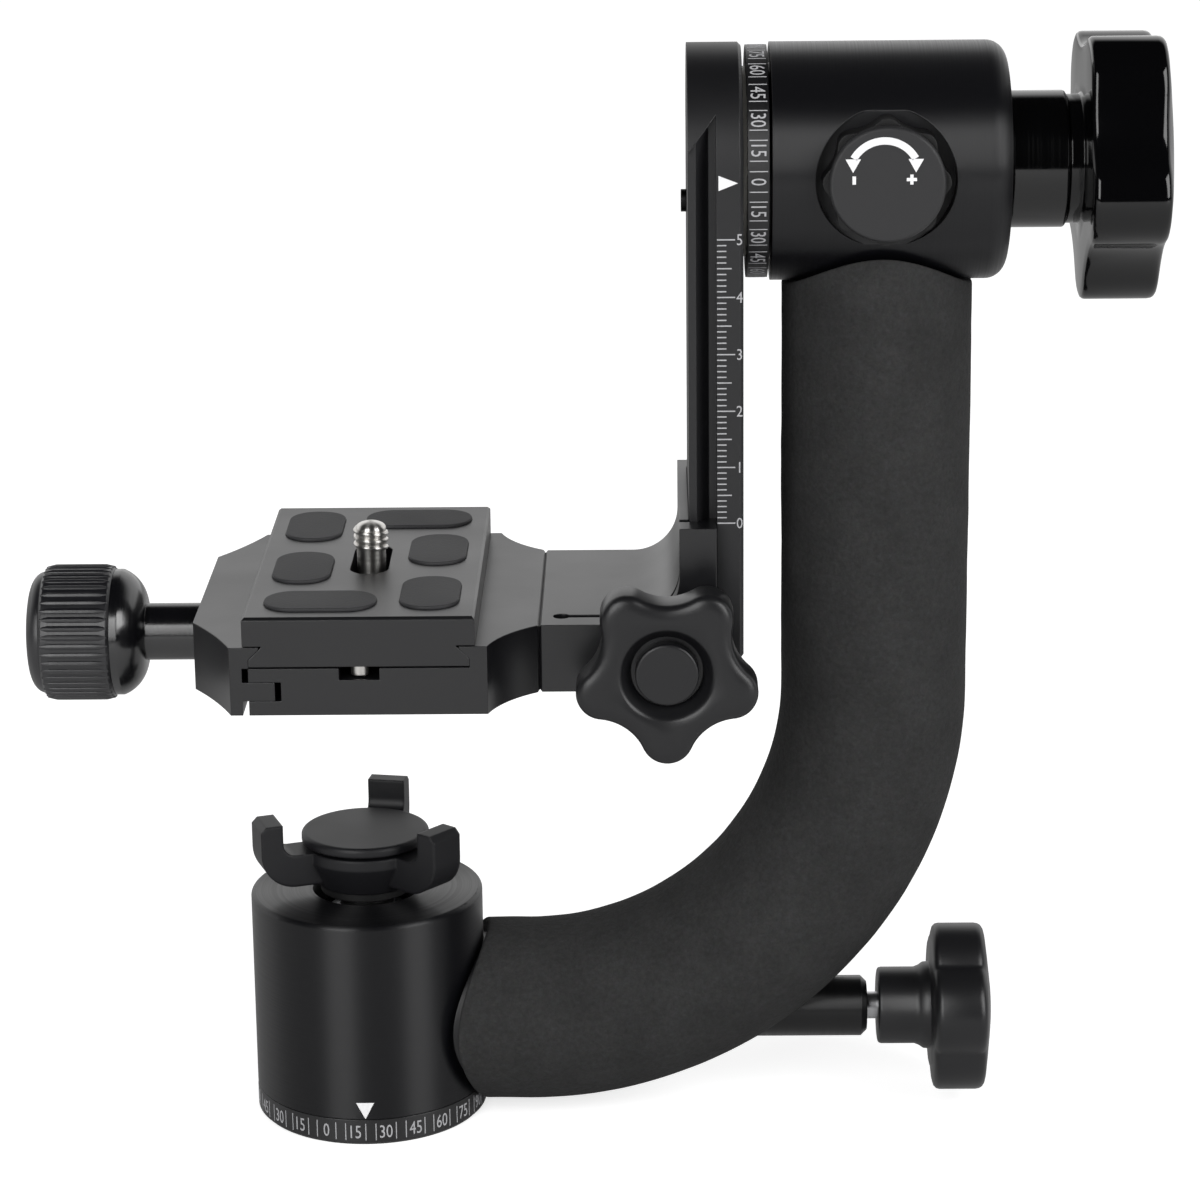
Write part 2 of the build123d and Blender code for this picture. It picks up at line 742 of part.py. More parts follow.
with BuildPart() as pan_lock_knob:
    with BuildSketch(Plane.YZ.offset(pan_head_start)):
        with Locations((0, arm_height)):
            add(lobed(5, pan_head_radius, pan_head_valley, pan_head_tip_arc, pan_head_first_lobe))
    extrude(amount=pan_head_length)
    head_crown = pan_head_length / 8
    with BuildSketch(pan_lock_line):
        with BuildLine():
            Polyline(
                (pan_head_end, 0),
                (pan_head_start, 0),
                (pan_head_start, pan_neck_radius),
                (pan_head_start + head_crown, pan_head_radius),
                (pan_head_end - head_crown, pan_head_radius),
            )
            ThreePointArc(
                (pan_head_end - head_crown, pan_head_radius),
                (pan_head_end - head_crown / 4, pan_head_radius / 2),
                (pan_head_end, 0),
            )
        make_face()
    revolve(axis=axis_of(pan_lock_line), mode=Mode.INTERSECT)
    with BuildSketch(pan_lock_line):
        add(
            steps(
                (pan_knob_start, pan_knob_start + pan_hub_length, pan_hub_radius),
                (pan_knob_start + pan_hub_length, pan_head_start + head_crown, pan_neck_radius),
            )
        )
    revolve(axis=axis_of(pan_lock_line))
    fillet(pan_lock_knob.edges().group_by(Axis.X)[0], head_crown / 2)
    with BuildSketch(pan_lock_line):
        add(
            steps(
                (pan_knob_start, pan_head_start + pan_head_length / 3, lock_screw_radius),
                (pan_head_end - head_crown, pan_head_end, pan_cap_radius),
            )
        )
    revolve(axis=axis_of(pan_lock_line), mode=Mode.SUBTRACT)

with BuildPart() as pan_lock_cap:
    with BuildSketch(pan_lock_line):
        add(steps((pan_head_end - head_crown, pan_head_end, pan_cap_radius)))
    revolve(axis=axis_of(pan_lock_line))
    fillet(pan_lock_cap.edges().sort_by(Axis.X)[-1], head_crown / 3)

# ================================================================== tilt hub
far_race_end = far_tilt_bearing + bearing_width
with BuildPart() as tilt_housing:
    with BuildSketch(tilt_line):
        add(steps((hub_left, hub_right, tilt_radius), (register_face, hub_left, register_radius)))
    revolve(axis=axis_of(tilt_line))
    fillet(tilt_housing.edges().group_by(Axis.X)[-1], tilt_hub_round)
    with BuildSketch(Plane.XY.offset(tilt_spigot_end)):
        with Locations((arm_reach, 0)):
            Circle(spigot_radius)
    extrude(amount=tilt_height - tilt_spigot_end)
    with BuildSketch(tilt_line):
        add(
            steps(
                (register_face, far_race_end, bearing_radius),
                (tilt_bearing - circlip_width, tilt_bearing, bearing_radius + circlip_depth),
                (far_race_end, hub_right, race_ledge),
                (hub_right - lock_washer_recess, hub_right, lock_washer_radius + running_gap),
            )
        )
    revolve(axis=axis_of(tilt_line), mode=Mode.SUBTRACT)
    with BuildSketch(friction_line):
        add(
            steps(
                (bearing_bore, tilt_radius, friction_screw_radius + running_gap),
                (friction_pocket_floor, tilt_radius + 1, friction_pocket_radius),
            )
        )
    revolve(axis=axis_of(friction_line), mode=Mode.SUBTRACT)
    with BuildSketch(Plane.XZ):
        with Locations((arm_reach, tilt_spigot_end + tube_screw_setback)):
            Circle(tube_screw_radius)
    extrude(amount=tube_radius, both=True, mode=Mode.SUBTRACT)

with BuildPart() as tilt_scale_ring:
    with BuildSketch(tilt_line):
        add(band(register_face, register_face + tilt_ring_width, register_radius, tilt_ring_radius))
    revolve(axis=axis_of(tilt_line))

with BuildPart() as tilt_thrust_washer:
    with BuildSketch(tilt_line):
        inner = bearing_shoulder + air_gap
        add(band(swing_back + face_gap, register_face, inner, thrust_washer_radius))
    revolve(axis=axis_of(tilt_line))

with BuildPart() as tilt_bearing_spacer:
    spacer_start = tilt_bearing + bearing_width
    pad_hole = friction_screw_radius + air_gap
    add(race_spacer(tilt_line, spacer_start, far_tilt_bearing, friction_line, pad_hole))

# ================================================================== tilt friction knob
pad_end = bearing_bore + face_gap + friction_pad_length
springs_end = pad_end + disc_spring_count * disc_spring_pitch
with BuildPart() as friction_pad:
    with BuildSketch(friction_line):
        add(steps((0, pad_end, friction_screw_radius)))
    revolve(axis=axis_of(friction_line))
    with BuildSketch(tilt_line):
        add(steps((tilt_bearing, far_tilt_bearing, bearing_bore + face_gap)))
    revolve(axis=axis_of(tilt_line), mode=Mode.SUBTRACT)

with BuildPart() as friction_springs:
    for disc in range(disc_spring_count):
        near = pad_end + disc * disc_spring_pitch
        far = near + disc_spring_pitch - disc_spring_thickness
        inner_rim, outer_rim = (near, far) if disc % 2 == 0 else (far, near)
        with BuildSketch(friction_line):
            add(
                outline(
                    (inner_rim, disc_spring_bore),
                    (inner_rim + disc_spring_thickness, disc_spring_bore),
                    (outer_rim + disc_spring_thickness, disc_spring_radius),
                    (outer_rim, disc_spring_radius),
                )
            )
        revolve(axis=axis_of(friction_line))

friction_knob_start = friction_pocket_floor + air_gap
friction_knob_end = friction_knob_start + friction_knob_length
with BuildPart() as friction_screw:
    with BuildSketch(friction_line):
        add(steps((springs_end, friction_knob_end - 1, friction_screw_radius)))
    revolve(axis=axis_of(friction_line))

with BuildPart() as friction_knob:
    with BuildSketch(Plane.XZ.offset(friction_knob_start)):
        with Locations((friction_x, tilt_height)):
            add(lobed(friction_knob_lobes, friction_knob_radius, friction_knob_valley, friction_knob_tip_arc, 0))
            Circle(friction_screw_radius, mode=Mode.SUBTRACT)
    extrude(amount=friction_knob_length - 1)
    with BuildSketch(Plane.XZ.offset(friction_knob_end - 1)):
        with Locations((friction_x, tilt_height)):
            add(lobed(friction_knob_lobes, friction_knob_radius, friction_knob_valley, friction_knob_tip_arc, 0))
    extrude(amount=1)

with BuildPart() as friction_cap:
    with BuildSketch(friction_line):
        cap_end = friction_knob_end + friction_cap_thickness
        add(steps((friction_knob_end, cap_end, friction_cap_radius)))
    revolve(axis=axis_of(friction_line))
    chamfer(friction_cap.edges().group_by(Axis.Y)[0], friction_cap_thickness / 5)

# ================================================================== swing arm and tilt shaft
rail_shoulder = rail_edge + rail_slope + rail_neck
rail_inner = rail_half_width - rail_slope
runout_plane = Plane(
    origin=(swing_front, 0, tilt_height + rail_top), x_dir=(0, 1, 0), z_dir=(-rail_runout, 0, rail_shoulder)
)
stop_screw_y = bracket_screw_first + bracket_screw_pitch / 2
lower_stop_z = foot_z + lower_stop_height
upper_stop_z = upright_top + platform_travel + stop_screw_radius + face_gap
with BuildPart() as rail_groove:
    with BuildSketch(Plane.XY.offset(foot_z - 1)):
        add(
            outline(
                (swing_front - 1, -tilt_radius - 1),
                (swing_front - 1, -rail_half_width),
                (swing_front + rail_edge, -rail_half_width),
                (swing_front + rail_edge + rail_slope, -rail_inner),
                (swing_front + rail_shoulder, -rail_inner),
                (swing_front + rail_shoulder, -tilt_radius - 1),
            )
        )
    extrude(amount=swing_foot + rail_top + rail_runout + 2)
    split(bisect_by=runout_plane, keep=Keep.BOTTOM)
    mirror(about=Plane.XZ)

with BuildPart() as swing_arm:
    with BuildSketch(Plane.YZ.offset(swing_front)):
        with Locations((0, tilt_height)):
            Circle(tilt_radius)
        with Locations((0, (foot_z + tilt_height) / 2)):
            Rectangle(2 * tilt_radius, swing_foot)
    extrude(amount=swing_thickness)
    chamfer(swing_arm.edges().group_by(Axis.X)[-1], swing_edge)
    add(rail_groove.part, mode=Mode.SUBTRACT)
    with BuildSketch(tilt_line):
        add(steps((swing_back - shaft_socket_depth, swing_back, shaft_spigot_radius)))
    revolve(axis=axis_of(tilt_line), mode=Mode.SUBTRACT)
    with Locations(Plane(origin=(swing_front, 0, tilt_height), z_dir=(-1, 0, 0))):
        with PolarLocations(shaft_screw_circle, shaft_screw_count, start_angle=90):
            CounterSinkHole(shaft_screw_radius, 2 * shaft_screw_radius, swing_thickness, 90)
    for stop_z in (lower_stop_z, upper_stop_z):
        with Locations(Plane(origin=(swing_front, stop_screw_y, stop_z), z_dir=(-1, 0, 0))):
            Hole(stop_thread_radius, stop_thread_length)

with BuildPart() as rail_stop_screws:
    for stop_z in (lower_stop_z, upper_stop_z):
        with Locations(Plane(origin=(swing_front, stop_screw_y, stop_z), z_dir=(-1, 0, 0))):
            add(cap_screw(stop_thread_radius, stop_screw_radius, stop_screw_height, stop_thread_length))

shaft_end = far_race_end + bearing_nut_height + air_gap
with BuildPart() as tilt_shaft:
    with BuildSketch(tilt_line):
        add(
            steps(
                (swing_back - shaft_socket_depth, swing_back, shaft_spigot_radius),
                (swing_back, tilt_bearing, bearing_shoulder),
                (tilt_bearing, far_race_end, bearing_bore),
                (far_race_end, shaft_end, nut_thread),
            )
        )
    revolve(axis=axis_of(tilt_line))
    with BuildSketch(tilt_line):
        add(steps((shaft_end - stud_depth, shaft_end, stud_radius + running_gap)))
    revolve(axis=axis_of(tilt_line), mode=Mode.SUBTRACT)
    with Locations(Plane(origin=(swing_back - shaft_socket_depth, 0, tilt_height), z_dir=(-1, 0, 0))):
        with PolarLocations(shaft_screw_circle, shaft_screw_count, start_angle=90):
            Hole(shaft_screw_radius, shaft_screw_length)

with BuildPart() as swing_arm_screws:
    with Locations(Plane(origin=(swing_front, 0, tilt_height), z_dir=(-1, 0, 0))):
        with PolarLocations(shaft_screw_circle, shaft_screw_count, start_angle=90):
            add(countersunk_screw(shaft_screw_radius, 2 * shaft_screw_radius, shaft_screw_length))

with BuildPart() as tilt_inner_races:
    add(race_pair(tilt_line, tilt_bearing, far_tilt_bearing, bearing_bore, bearing_bore + race_wall))

with BuildPart() as tilt_bearing_nut:
    add(bearing_nut(tilt_line, far_race_end))

# ================================================================== tilt lock knob
washer_start = hub_right - lock_washer_recess + face_gap
collar_start = washer_start + lock_washer_thickness + face_gap
collar_end = collar_start + tilt_collar_length
tilt_head_start = collar_end + tilt_neck_length
tilt_head_end = tilt_head_start + tilt_head_length
stud_end = tilt_head_start + tilt_head_length / 3
with BuildPart() as tilt_lock_washer:
    with BuildSketch(tilt_line):
        washer_end = washer_start + lock_washer_thickness
        add(band(washer_start, washer_end, stud_radius + running_gap, lock_washer_radius))
    revolve(axis=axis_of(tilt_line))

with BuildPart() as tilt_lock_collar:
    with BuildSketch(tilt_line):
        add(band(collar_start, collar_end, stud_radius, tilt_collar_radius))
    revolve(axis=axis_of(tilt_line))
    rims = tilt_lock_collar.edges().filter_by(GeomType.CIRCLE).group_by(SortBy.RADIUS)[-1]
    fillet(rims, swing_edge)

with BuildPart() as tilt_lock_stud:
    with BuildSketch(tilt_line):
        add(steps((shaft_end - stud_depth + 2, stud_end, stud_radius)))
    revolve(axis=axis_of(tilt_line))

with BuildPart() as tilt_lock_knob:
    with BuildSketch(Plane.YZ.offset(tilt_head_start)):
        with Locations((0, tilt_height)):
            add(lobed(5, tilt_head_radius, tilt_head_valley, tilt_head_tip_arc, tilt_head_first_lobe))
    extrude(amount=tilt_head_length)
    tilt_crown = tilt_head_length / 9
    with BuildSketch(tilt_line):
        with BuildLine():
            Polyline(
                (tilt_head_end, 0),
                (tilt_head_start, 0),
                (tilt_head_start, tilt_neck_radius),
                (tilt_head_start + tilt_crown / 2, tilt_head_radius),
                (tilt_head_end - tilt_crown, tilt_head_radius),
            )
            ThreePointArc(
                (tilt_head_end - tilt_crown, tilt_head_radius),
                (tilt_head_end - tilt_crown / 4, tilt_head_radius / 2),
                (tilt_head_end, 0),
            )
        make_face()
    revolve(axis=axis_of(tilt_line), mode=Mode.INTERSECT)
    with BuildSketch(tilt_line):
        add(steps((collar_end, tilt_head_start + tilt_crown, tilt_neck_radius)))
    revolve(axis=axis_of(tilt_line))
    with BuildSketch(tilt_line):
        add(
            steps(
                (collar_end, stud_end, stud_radius),
                (tilt_head_end - tilt_crown, tilt_head_end, tilt_cap_radius),
            )
        )
    revolve(axis=axis_of(tilt_line), mode=Mode.SUBTRACT)

with BuildPart() as tilt_lock_cap:
    with BuildSketch(tilt_line):
        add(steps((tilt_head_end - tilt_crown, tilt_head_end, tilt_cap_radius)))
    revolve(axis=axis_of(tilt_line))
    fillet(tilt_lock_cap.edges().sort_by(Axis.X)[-1], tilt_crown / 3)

# ================================================================== sliding platform
bed_x = swing_front - face_gap
upright_x = bed_x - upright_web
jaw_face_x = swing_front + rail_shoulder - 2 * face_gap
slit_y = -(bracket_half_width - leaf_thickness - slit_width / 2)
slit_x = swing_front - slit_start
bracket_screw_z = (platform_bottom + platform_top) / 2
bracket_screw_places = [bracket_screw_first, bracket_screw_first + bracket_screw_pitch]
bracket_screw_seat = bed_x - bracket_screw_head_height
with BuildPart() as platform_bracket:
    with BuildSketch(Plane.XZ.offset(-bracket_half_width)) as side:
        add(
            outline(
                (seam_x, platform_bottom),
                (seam_x, platform_top),
                (upright_x, platform_top),
                (upright_x, upright_top),
                (jaw_face_x, upright_top),
                (jaw_face_x, platform_bottom),
            )
        )
        fillet(side.vertices().sort_by_distance((upright_x, platform_top))[0], upright_fillet)
    extrude(amount=2 * bracket_half_width)
    with BuildSketch(Plane.XY.offset(platform_bottom)):
        pocket = rail_half_width + face_gap
        neck = rail_inner + face_gap
        edge_x = swing_front + rail_edge + face_gap
        add(
            outline(
                (bed_x, -pocket),
                (edge_x, -pocket),
                (edge_x + rail_slope, -neck),
                (jaw_face_x + 1, -neck),
                (jaw_face_x + 1, neck),
                (edge_x + rail_slope, neck),
                (edge_x, pocket),
                (bed_x, pocket),
            )
        )
    extrude(amount=upright_top - platform_bottom, mode=Mode.SUBTRACT)
    with BuildSketch(Plane.XY.offset(platform_bottom)):
        with Locations((slit_x, slit_y)):
            Circle(slit_end_radius)
        with Locations(((slit_x + bed_x) / 2 + 1, slit_y)):
            Rectangle(bed_x - slit_x + 2, slit_width)
    extrude(amount=upright_top - platform_bottom, mode=Mode.SUBTRACT)
    with BuildSketch(platform_lock_line):
        hole_start = bracket_half_width - platform_screw_depth
        add(steps((hole_start, bracket_half_width, platform_screw_radius + running_gap)))
    revolve(axis=axis_of(platform_lock_line), mode=Mode.SUBTRACT)
    for screw_y in bracket_screw_places:
        with Locations(Plane(origin=(bed_x, screw_y, bracket_screw_z), z_dir=(1, 0, 0))):
            CounterBoreHole(bracket_screw_radius, bracket_screw_head, bracket_screw_head_height, bracket_length)
    with BuildSketch(Plane.YZ.offset(bed_x)):
        slot_top = lower_stop_z + stop_screw_radius + face_gap
        with Locations((stop_screw_y, (platform_bottom + slot_top) / 2)):
            Rectangle(2 * (stop_screw_radius + air_gap), slot_top - platform_bottom)
    extrude(amount=-(stop_screw_height + air_gap), mode=Mode.SUBTRACT)
    chamfer(platform_bracket.faces().sort_by(Axis.X)[0].edges().filter_by(GeomType.LINE), seam_chamfer)

with BuildPart() as bracket_screws:
    for screw_y in bracket_screw_places:
        with Locations(Plane(origin=(bracket_screw_seat, screw_y, bracket_screw_z), z_dir=(1, 0, 0))):
            head_height = bracket_screw_head_height - air_gap
            add(cap_screw(bracket_screw_radius, bracket_screw_head, head_height, bracket_screw_length))

# ================================================================== platform lock knob
ring_start = bracket_half_width + face_gap
ring_end = ring_start + lock_ring_thickness
knob_start = ring_end + face_gap
star_start = knob_start + lock_collar_length
star_end = star_start + star_length
with BuildPart() as platform_lock_washer:
    with BuildSketch(platform_lock_line):
        add(band(ring_start, ring_end, platform_screw_radius + running_gap, lock_ring_radius))
    revolve(axis=axis_of(platform_lock_line))

with BuildPart() as platform_lock_screw:
    with BuildSketch(platform_lock_line):
        tip = bracket_half_width - platform_screw_depth + 0.5
        add(steps((tip, star_end - star_well_depth - 1, platform_screw_radius)))
    revolve(axis=axis_of(platform_lock_line))

with BuildPart() as platform_lock_knob:
    with BuildSketch(Plane.XZ.offset(star_start)):
        with Locations((platform_screw_x, platform_screw_height)):
            add(lobed(5, star_radius, star_valley, star_tip_arc, star_first_lobe))
    extrude(amount=star_length)
    fillet(platform_lock_knob.edges().group_by(Axis.Y)[0], star_length / 4)
    fillet(platform_lock_knob.edges().group_by(Axis.Y)[-1], star_length / 8)
    with BuildSketch(platform_lock_line):
        add(steps((knob_start, star_start + 1, lock_collar_radius)))
    revolve(axis=axis_of(platform_lock_line))
    well_floor = star_end - star_well_depth
    with BuildSketch(platform_lock_line):
        add(
            outline(
                (knob_start, 0),
                (knob_start, platform_screw_radius),
                (well_floor - 1, platform_screw_radius),
                (well_floor - 1, 0),
            )
        )
        add(
            outline(
                (well_floor, 0),
                (well_floor, star_well_radius),
                (star_end - star_well_slope, star_well_radius),
                (star_end, star_well_radius + star_well_slope),
                (star_end, 0),
            )
        )
    revolve(axis=axis_of(platform_lock_line), mode=Mode.SUBTRACT)

with BuildPart() as platform_lock_cap:
    with BuildSketch(platform_lock_line):
        add(steps((well_floor, star_end - star_cap_drop, star_cap_radius)))
    revolve(axis=axis_of(platform_lock_line))
    fillet(platform_lock_cap.edges().sort_by(Axis.Y)[0], star_cap_drop)

# ================================================================== plate clamp
plate_edge_z = plate_bottom + rail_edge
body_left = plate_x - jaw_inside + jaw_gap
tongue_tip = plate_x - jaw_inside + tongue_reach
tongue_slot_end = tongue_tip + tongue_end_gap
hook_root = rail_half_width + clamp_play
hook_slope_top = platform_top - rail_slope / 6
hook_tip = hook_root - (hook_slope_top - plate_edge_z)
clamp_screw_hole_end = tongue_slot_end + clamp_screw_engagement
with BuildPart() as clamp_body:
    with BuildSketch(Plane.XZ.offset(-clamp_half_length)):
        add(
            outline(
                (body_left, platform_bottom),
                (seam_x, platform_bottom),
                (seam_x, platform_top),
                (plate_x + hook_tip, platform_top),
                (plate_x + hook_tip, hook_slope_top),
                (plate_x + hook_root, plate_edge_z),
                (plate_x + hook_root, clamp_bed),
                (body_left, clamp_bed),
                (body_left, tongue_high + face_gap),
                (tongue_slot_end, tongue_high + face_gap),
                (tongue_slot_end, tongue_low - face_gap),
                (body_left, tongue_low - face_gap),
            )
        )
    extrude(amount=2 * clamp_half_length)
    with BuildSketch(Plane.XY.offset(platform_bottom)):
        with BuildLine():
            Polyline(
                (body_left, 0), (body_left, -clamp_half_length), (seam_x - clamp_waist, -clamp_half_length)
            )
            SagittaArc(
                (seam_x - clamp_waist, -clamp_half_length), (seam_x, -bracket_half_width), clamp_waist_sag
            )
            Line((seam_x, -bracket_half_width), (seam_x, 0))
            mirror(about=Plane.XZ)
        make_face()
    extrude(amount=platform_top - platform_bottom, mode=Mode.INTERSECT)
    with BuildSketch(clamp_line):
        add(steps((body_left, clamp_screw_hole_end, clamp_screw_radius + running_gap)))
    revolve(axis=axis_of(clamp_line), mode=Mode.SUBTRACT)
    with BuildSketch(Plane.XY.offset(clamp_bed)):
        for side_sign in (-1, 1):
            with Locations((plate_x, side_sign * (clamp_half_length - notch_length / 2))):
                Rectangle(2 * notch_half_width, notch_length)
    extrude(amount=-notch_depth, mode=Mode.SUBTRACT)
    for screw_y in bracket_screw_places:
        with Locations(Plane(origin=(seam_x, screw_y, bracket_screw_z), z_dir=(1, 0, 0))):
            Hole(bracket_screw_radius, seam_x - bracket_screw_seat + bracket_screw_length)
    chamfer(clamp_body.faces().sort_by(Axis.X)[-1].edges().filter_by(GeomType.LINE), seam_chamfer)

jaw_left = plate_x - jaw_outside
jaw_right = plate_x - jaw_inside
corner_start = (jaw_left, -(clamp_half_length - jaw_corner_run))
corner_end = (jaw_left + jaw_corner_depth, -clamp_half_length)
corner_length = sqrt(jaw_corner_run**2 + jaw_corner_depth**2)
corner_middle = (
    (corner_start[0] + corner_end[0]) / 2 + jaw_corner_sag * jaw_corner_run / corner_length,
    (corner_start[1] + corner_end[1]) / 2 + jaw_corner_sag * jaw_corner_depth / corner_length,
)
with BuildPart() as clamp_jaw:
    with BuildSketch(Plane.XZ.offset(-clamp_half_length)):
        add(
            outline(
                (jaw_left, platform_bottom),
                (jaw_right, platform_bottom),
                (jaw_right, tongue_low),
                (tongue_tip, tongue_low),
                (tongue_tip, tongue_high),
                (jaw_right, tongue_high),
                (jaw_right, clamp_bed + face_gap),
                (plate_x - hook_root, clamp_bed + face_gap),
                (plate_x - hook_root, plate_edge_z),
                (plate_x - hook_tip, hook_slope_top),
                (plate_x - hook_tip, platform_top),
                (jaw_left, platform_top),
            )
        )
    extrude(amount=2 * clamp_half_length)
    with BuildSketch(Plane.XY.offset(platform_bottom)):
        with BuildLine():
            Line((jaw_left, 0), corner_start)
            ThreePointArc(corner_start, corner_middle, corner_end)
            Polyline(corner_end, (tongue_tip, -clamp_half_length), (tongue_tip, 0))
            mirror(about=Plane.XZ)
        make_face()
    extrude(amount=platform_top - platform_bottom, mode=Mode.INTERSECT)
    with BuildSketch(clamp_line):
        add(steps((jaw_left, tongue_tip, clamp_screw_radius + running_gap)))
    revolve(axis=axis_of(clamp_line), mode=Mode.SUBTRACT)

shaft_right = jaw_left - face_gap
shaft_left = shaft_right - clamp_shaft_length
grip_right = shaft_left - clamp_dome_length
grip_left = grip_right - clamp_knob_grip
dome_left = grip_left - clamp_knob_dome
with BuildPart() as clamp_knob:
    with BuildSketch(clamp_line):
        with BuildLine():
            Polyline(
                (grip_right, 0),
                (grip_right, clamp_knob_radius),
                (grip_left, clamp_knob_radius),
                (grip_left, clamp_dome_radius),
            )
            ThreePointArc(
                (grip_left, clamp_dome_radius),
                (grip_left - clamp_knob_dome * 0.8, clamp_dome_radius - clamp_knob_dome / 2),
                (dome_left, clamp_dome_radius - 2 * clamp_knob_dome),
            )
            Polyline((dome_left, clamp_dome_radius - 2 * clamp_knob_dome), (dome_left, 0), (grip_right, 0))
        make_face()
    revolve(axis=axis_of(clamp_line))
    with BuildSketch(clamp_line):
        add(steps((grip_left, grip_right, clamp_screw_radius)))
    revolve(axis=axis_of(clamp_line), mode=Mode.SUBTRACT)

with BuildPart() as clamp_knob_collar:
    with BuildSketch(clamp_line):
        with BuildLine():
            Polyline(
                (grip_right, clamp_screw_radius),
                (grip_right, clamp_dome_radius),
                (grip_right + clamp_dome_length / 4, clamp_dome_radius),
            )
            ThreePointArc(
                (grip_right + clamp_dome_length / 4, clamp_dome_radius),
                (shaft_left - clamp_dome_length / 4, (clamp_dome_radius + clamp_shaft_radius) / 2 + 1),
                (shaft_left, clamp_shaft_radius + 0.5),
            )
            Polyline(
                (shaft_left, clamp_shaft_radius + 0.5),
                (shaft_left, clamp_shaft_radius),
                (shaft_right, clamp_shaft_radius),
                (shaft_right, clamp_screw_radius),
                (grip_right, clamp_screw_radius),
            )
        make_face()
    revolve(axis=axis_of(clamp_line))

with BuildPart() as clamp_screw:
    with BuildSketch(clamp_line):
        add(steps((grip_left, clamp_screw_hole_end - 1, clamp_screw_radius)))
    revolve(axis=axis_of(clamp_line))

# ================================================================== camera plate
slot_radius = camera_screw_radius + slot_gap
head_slot_radius = camera_head_radius + slot_gap
head_bottom = plate_bottom + slot_gap
head_top = head_bottom + camera_head_height
clip_bottom = head_top + face_gap
clip_top = clip_bottom + clip_thickness
guard_y = clamp_half_length - guard_screw_inset
with BuildSketch() as pad_layout:
    for turn in (1, -1):
        with Locations((turn * -pad_column, turn * -pad_middle_row), (turn * pad_column, turn * -pad_end_row)):
            RectangleRounded(pad_width, pad_length, pad_corner)
        with Locations((turn * -bar_column, turn * -bar_row)):
            RectangleRounded(bar_width, bar_length, bar_corner)

with BuildPart() as qr_plate:
    with BuildSketch(Plane.XZ.offset(-clamp_half_length)):
        with Locations((plate_x, 0)):
            add(
                outline(
                    (-plate_half_width, plate_top),
                    (plate_half_width, plate_top),
                    (plate_half_width, plate_flange_bottom),
                    (rail_inner, plate_flange_bottom),
                    (rail_inner, platform_top),
                    (rail_half_width, plate_edge_z),
                    (rail_half_width, plate_bottom),
                    (-rail_half_width, plate_bottom),
                    (-rail_half_width, plate_edge_z),
                    (-rail_inner, platform_top),
                    (-rail_inner, plate_flange_bottom),
                    (-plate_half_width, plate_flange_bottom),
                )
            )
    extrude(amount=2 * clamp_half_length)
    chamfer(qr_plate.faces().sort_by(Axis.Z)[-1].edges(), plate_edge)
    with BuildSketch(Plane.XY.offset(plate_top)):
        with Locations((plate_x, 0)):
            add(pad_layout.sketch)
    extrude(amount=-pad_recess, mode=Mode.SUBTRACT)
    with BuildSketch(Plane.XY.offset(plate_bottom)):
        with Locations((plate_x, 0)):
            SlotCenterToCenter(2 * slot_half_travel, 2 * slot_radius, rotation=90)
    extrude(amount=plate_top - plate_bottom, mode=Mode.SUBTRACT)
    with BuildSketch(Plane.XY.offset(plate_bottom)):
        with Locations((plate_x, 0)):
            SlotCenterToCenter(2 * slot_half_travel, 2 * head_slot_radius, rotation=90)
    extrude(amount=clip_top + face_gap - plate_bottom, mode=Mode.SUBTRACT)
    for guard in (-guard_y, guard_y):
        with Locations(Plane(origin=(plate_x, guard, plate_bottom), z_dir=(0, 0, -1))):
            Hole(guard_screw_radius, guard_screw_hold)

with BuildPart() as plate_pads:
    with BuildSketch(Plane.XY.offset(plate_top - pad_recess)):
        with Locations((plate_x, 0)):
            add(pad_layout.sketch)
    extrude(amount=pad_recess + pad_proud)
    fillet(plate_pads.edges().group_by(Axis.Z)[-1], pad_proud / 2)

with BuildPart() as plate_guard_screws:
    with BuildSketch(Plane.XY.offset(plate_bottom - guard_screw_drop)):
        with Locations((plate_x, -guard_y), (plate_x, guard_y)):
            Circle(guard_screw_radius)
    extrude(amount=guard_screw_drop + guard_screw_hold)

with BuildPart() as camera_screw:
    screw_line = Plane(origin=(plate_x, 0, 0), x_dir=(0, 0, 1), z_dir=(0, 1, 0))
    with BuildSketch(screw_line):
        add(
            steps(
                (head_bottom, head_top, camera_head_radius),
                (head_top, plate_top + neck_rise, camera_neck_radius),
                (plate_top + neck_rise, plate_top + camera_screw_rise, camera_screw_radius),
            )
        )
    revolve(axis=axis_of(screw_line))
    fillet(camera_screw.edges().sort_by(Axis.Z)[-1], camera_screw_radius / 2.5)
    with BuildSketch(Plane.XY.offset(head_bottom)):
        with Locations((plate_x, 0)):
            Rectangle(2 * camera_head_radius, camera_screw_radius / 2)
    extrude(amount=camera_head_height / 2, mode=Mode.SUBTRACT)

with BuildPart() as camera_screw_clip:
    with BuildSketch(screw_line):
        add(band(clip_bottom, clip_top, camera_neck_radius + running_gap, clip_radius))
    revolve(axis=axis_of(screw_line))

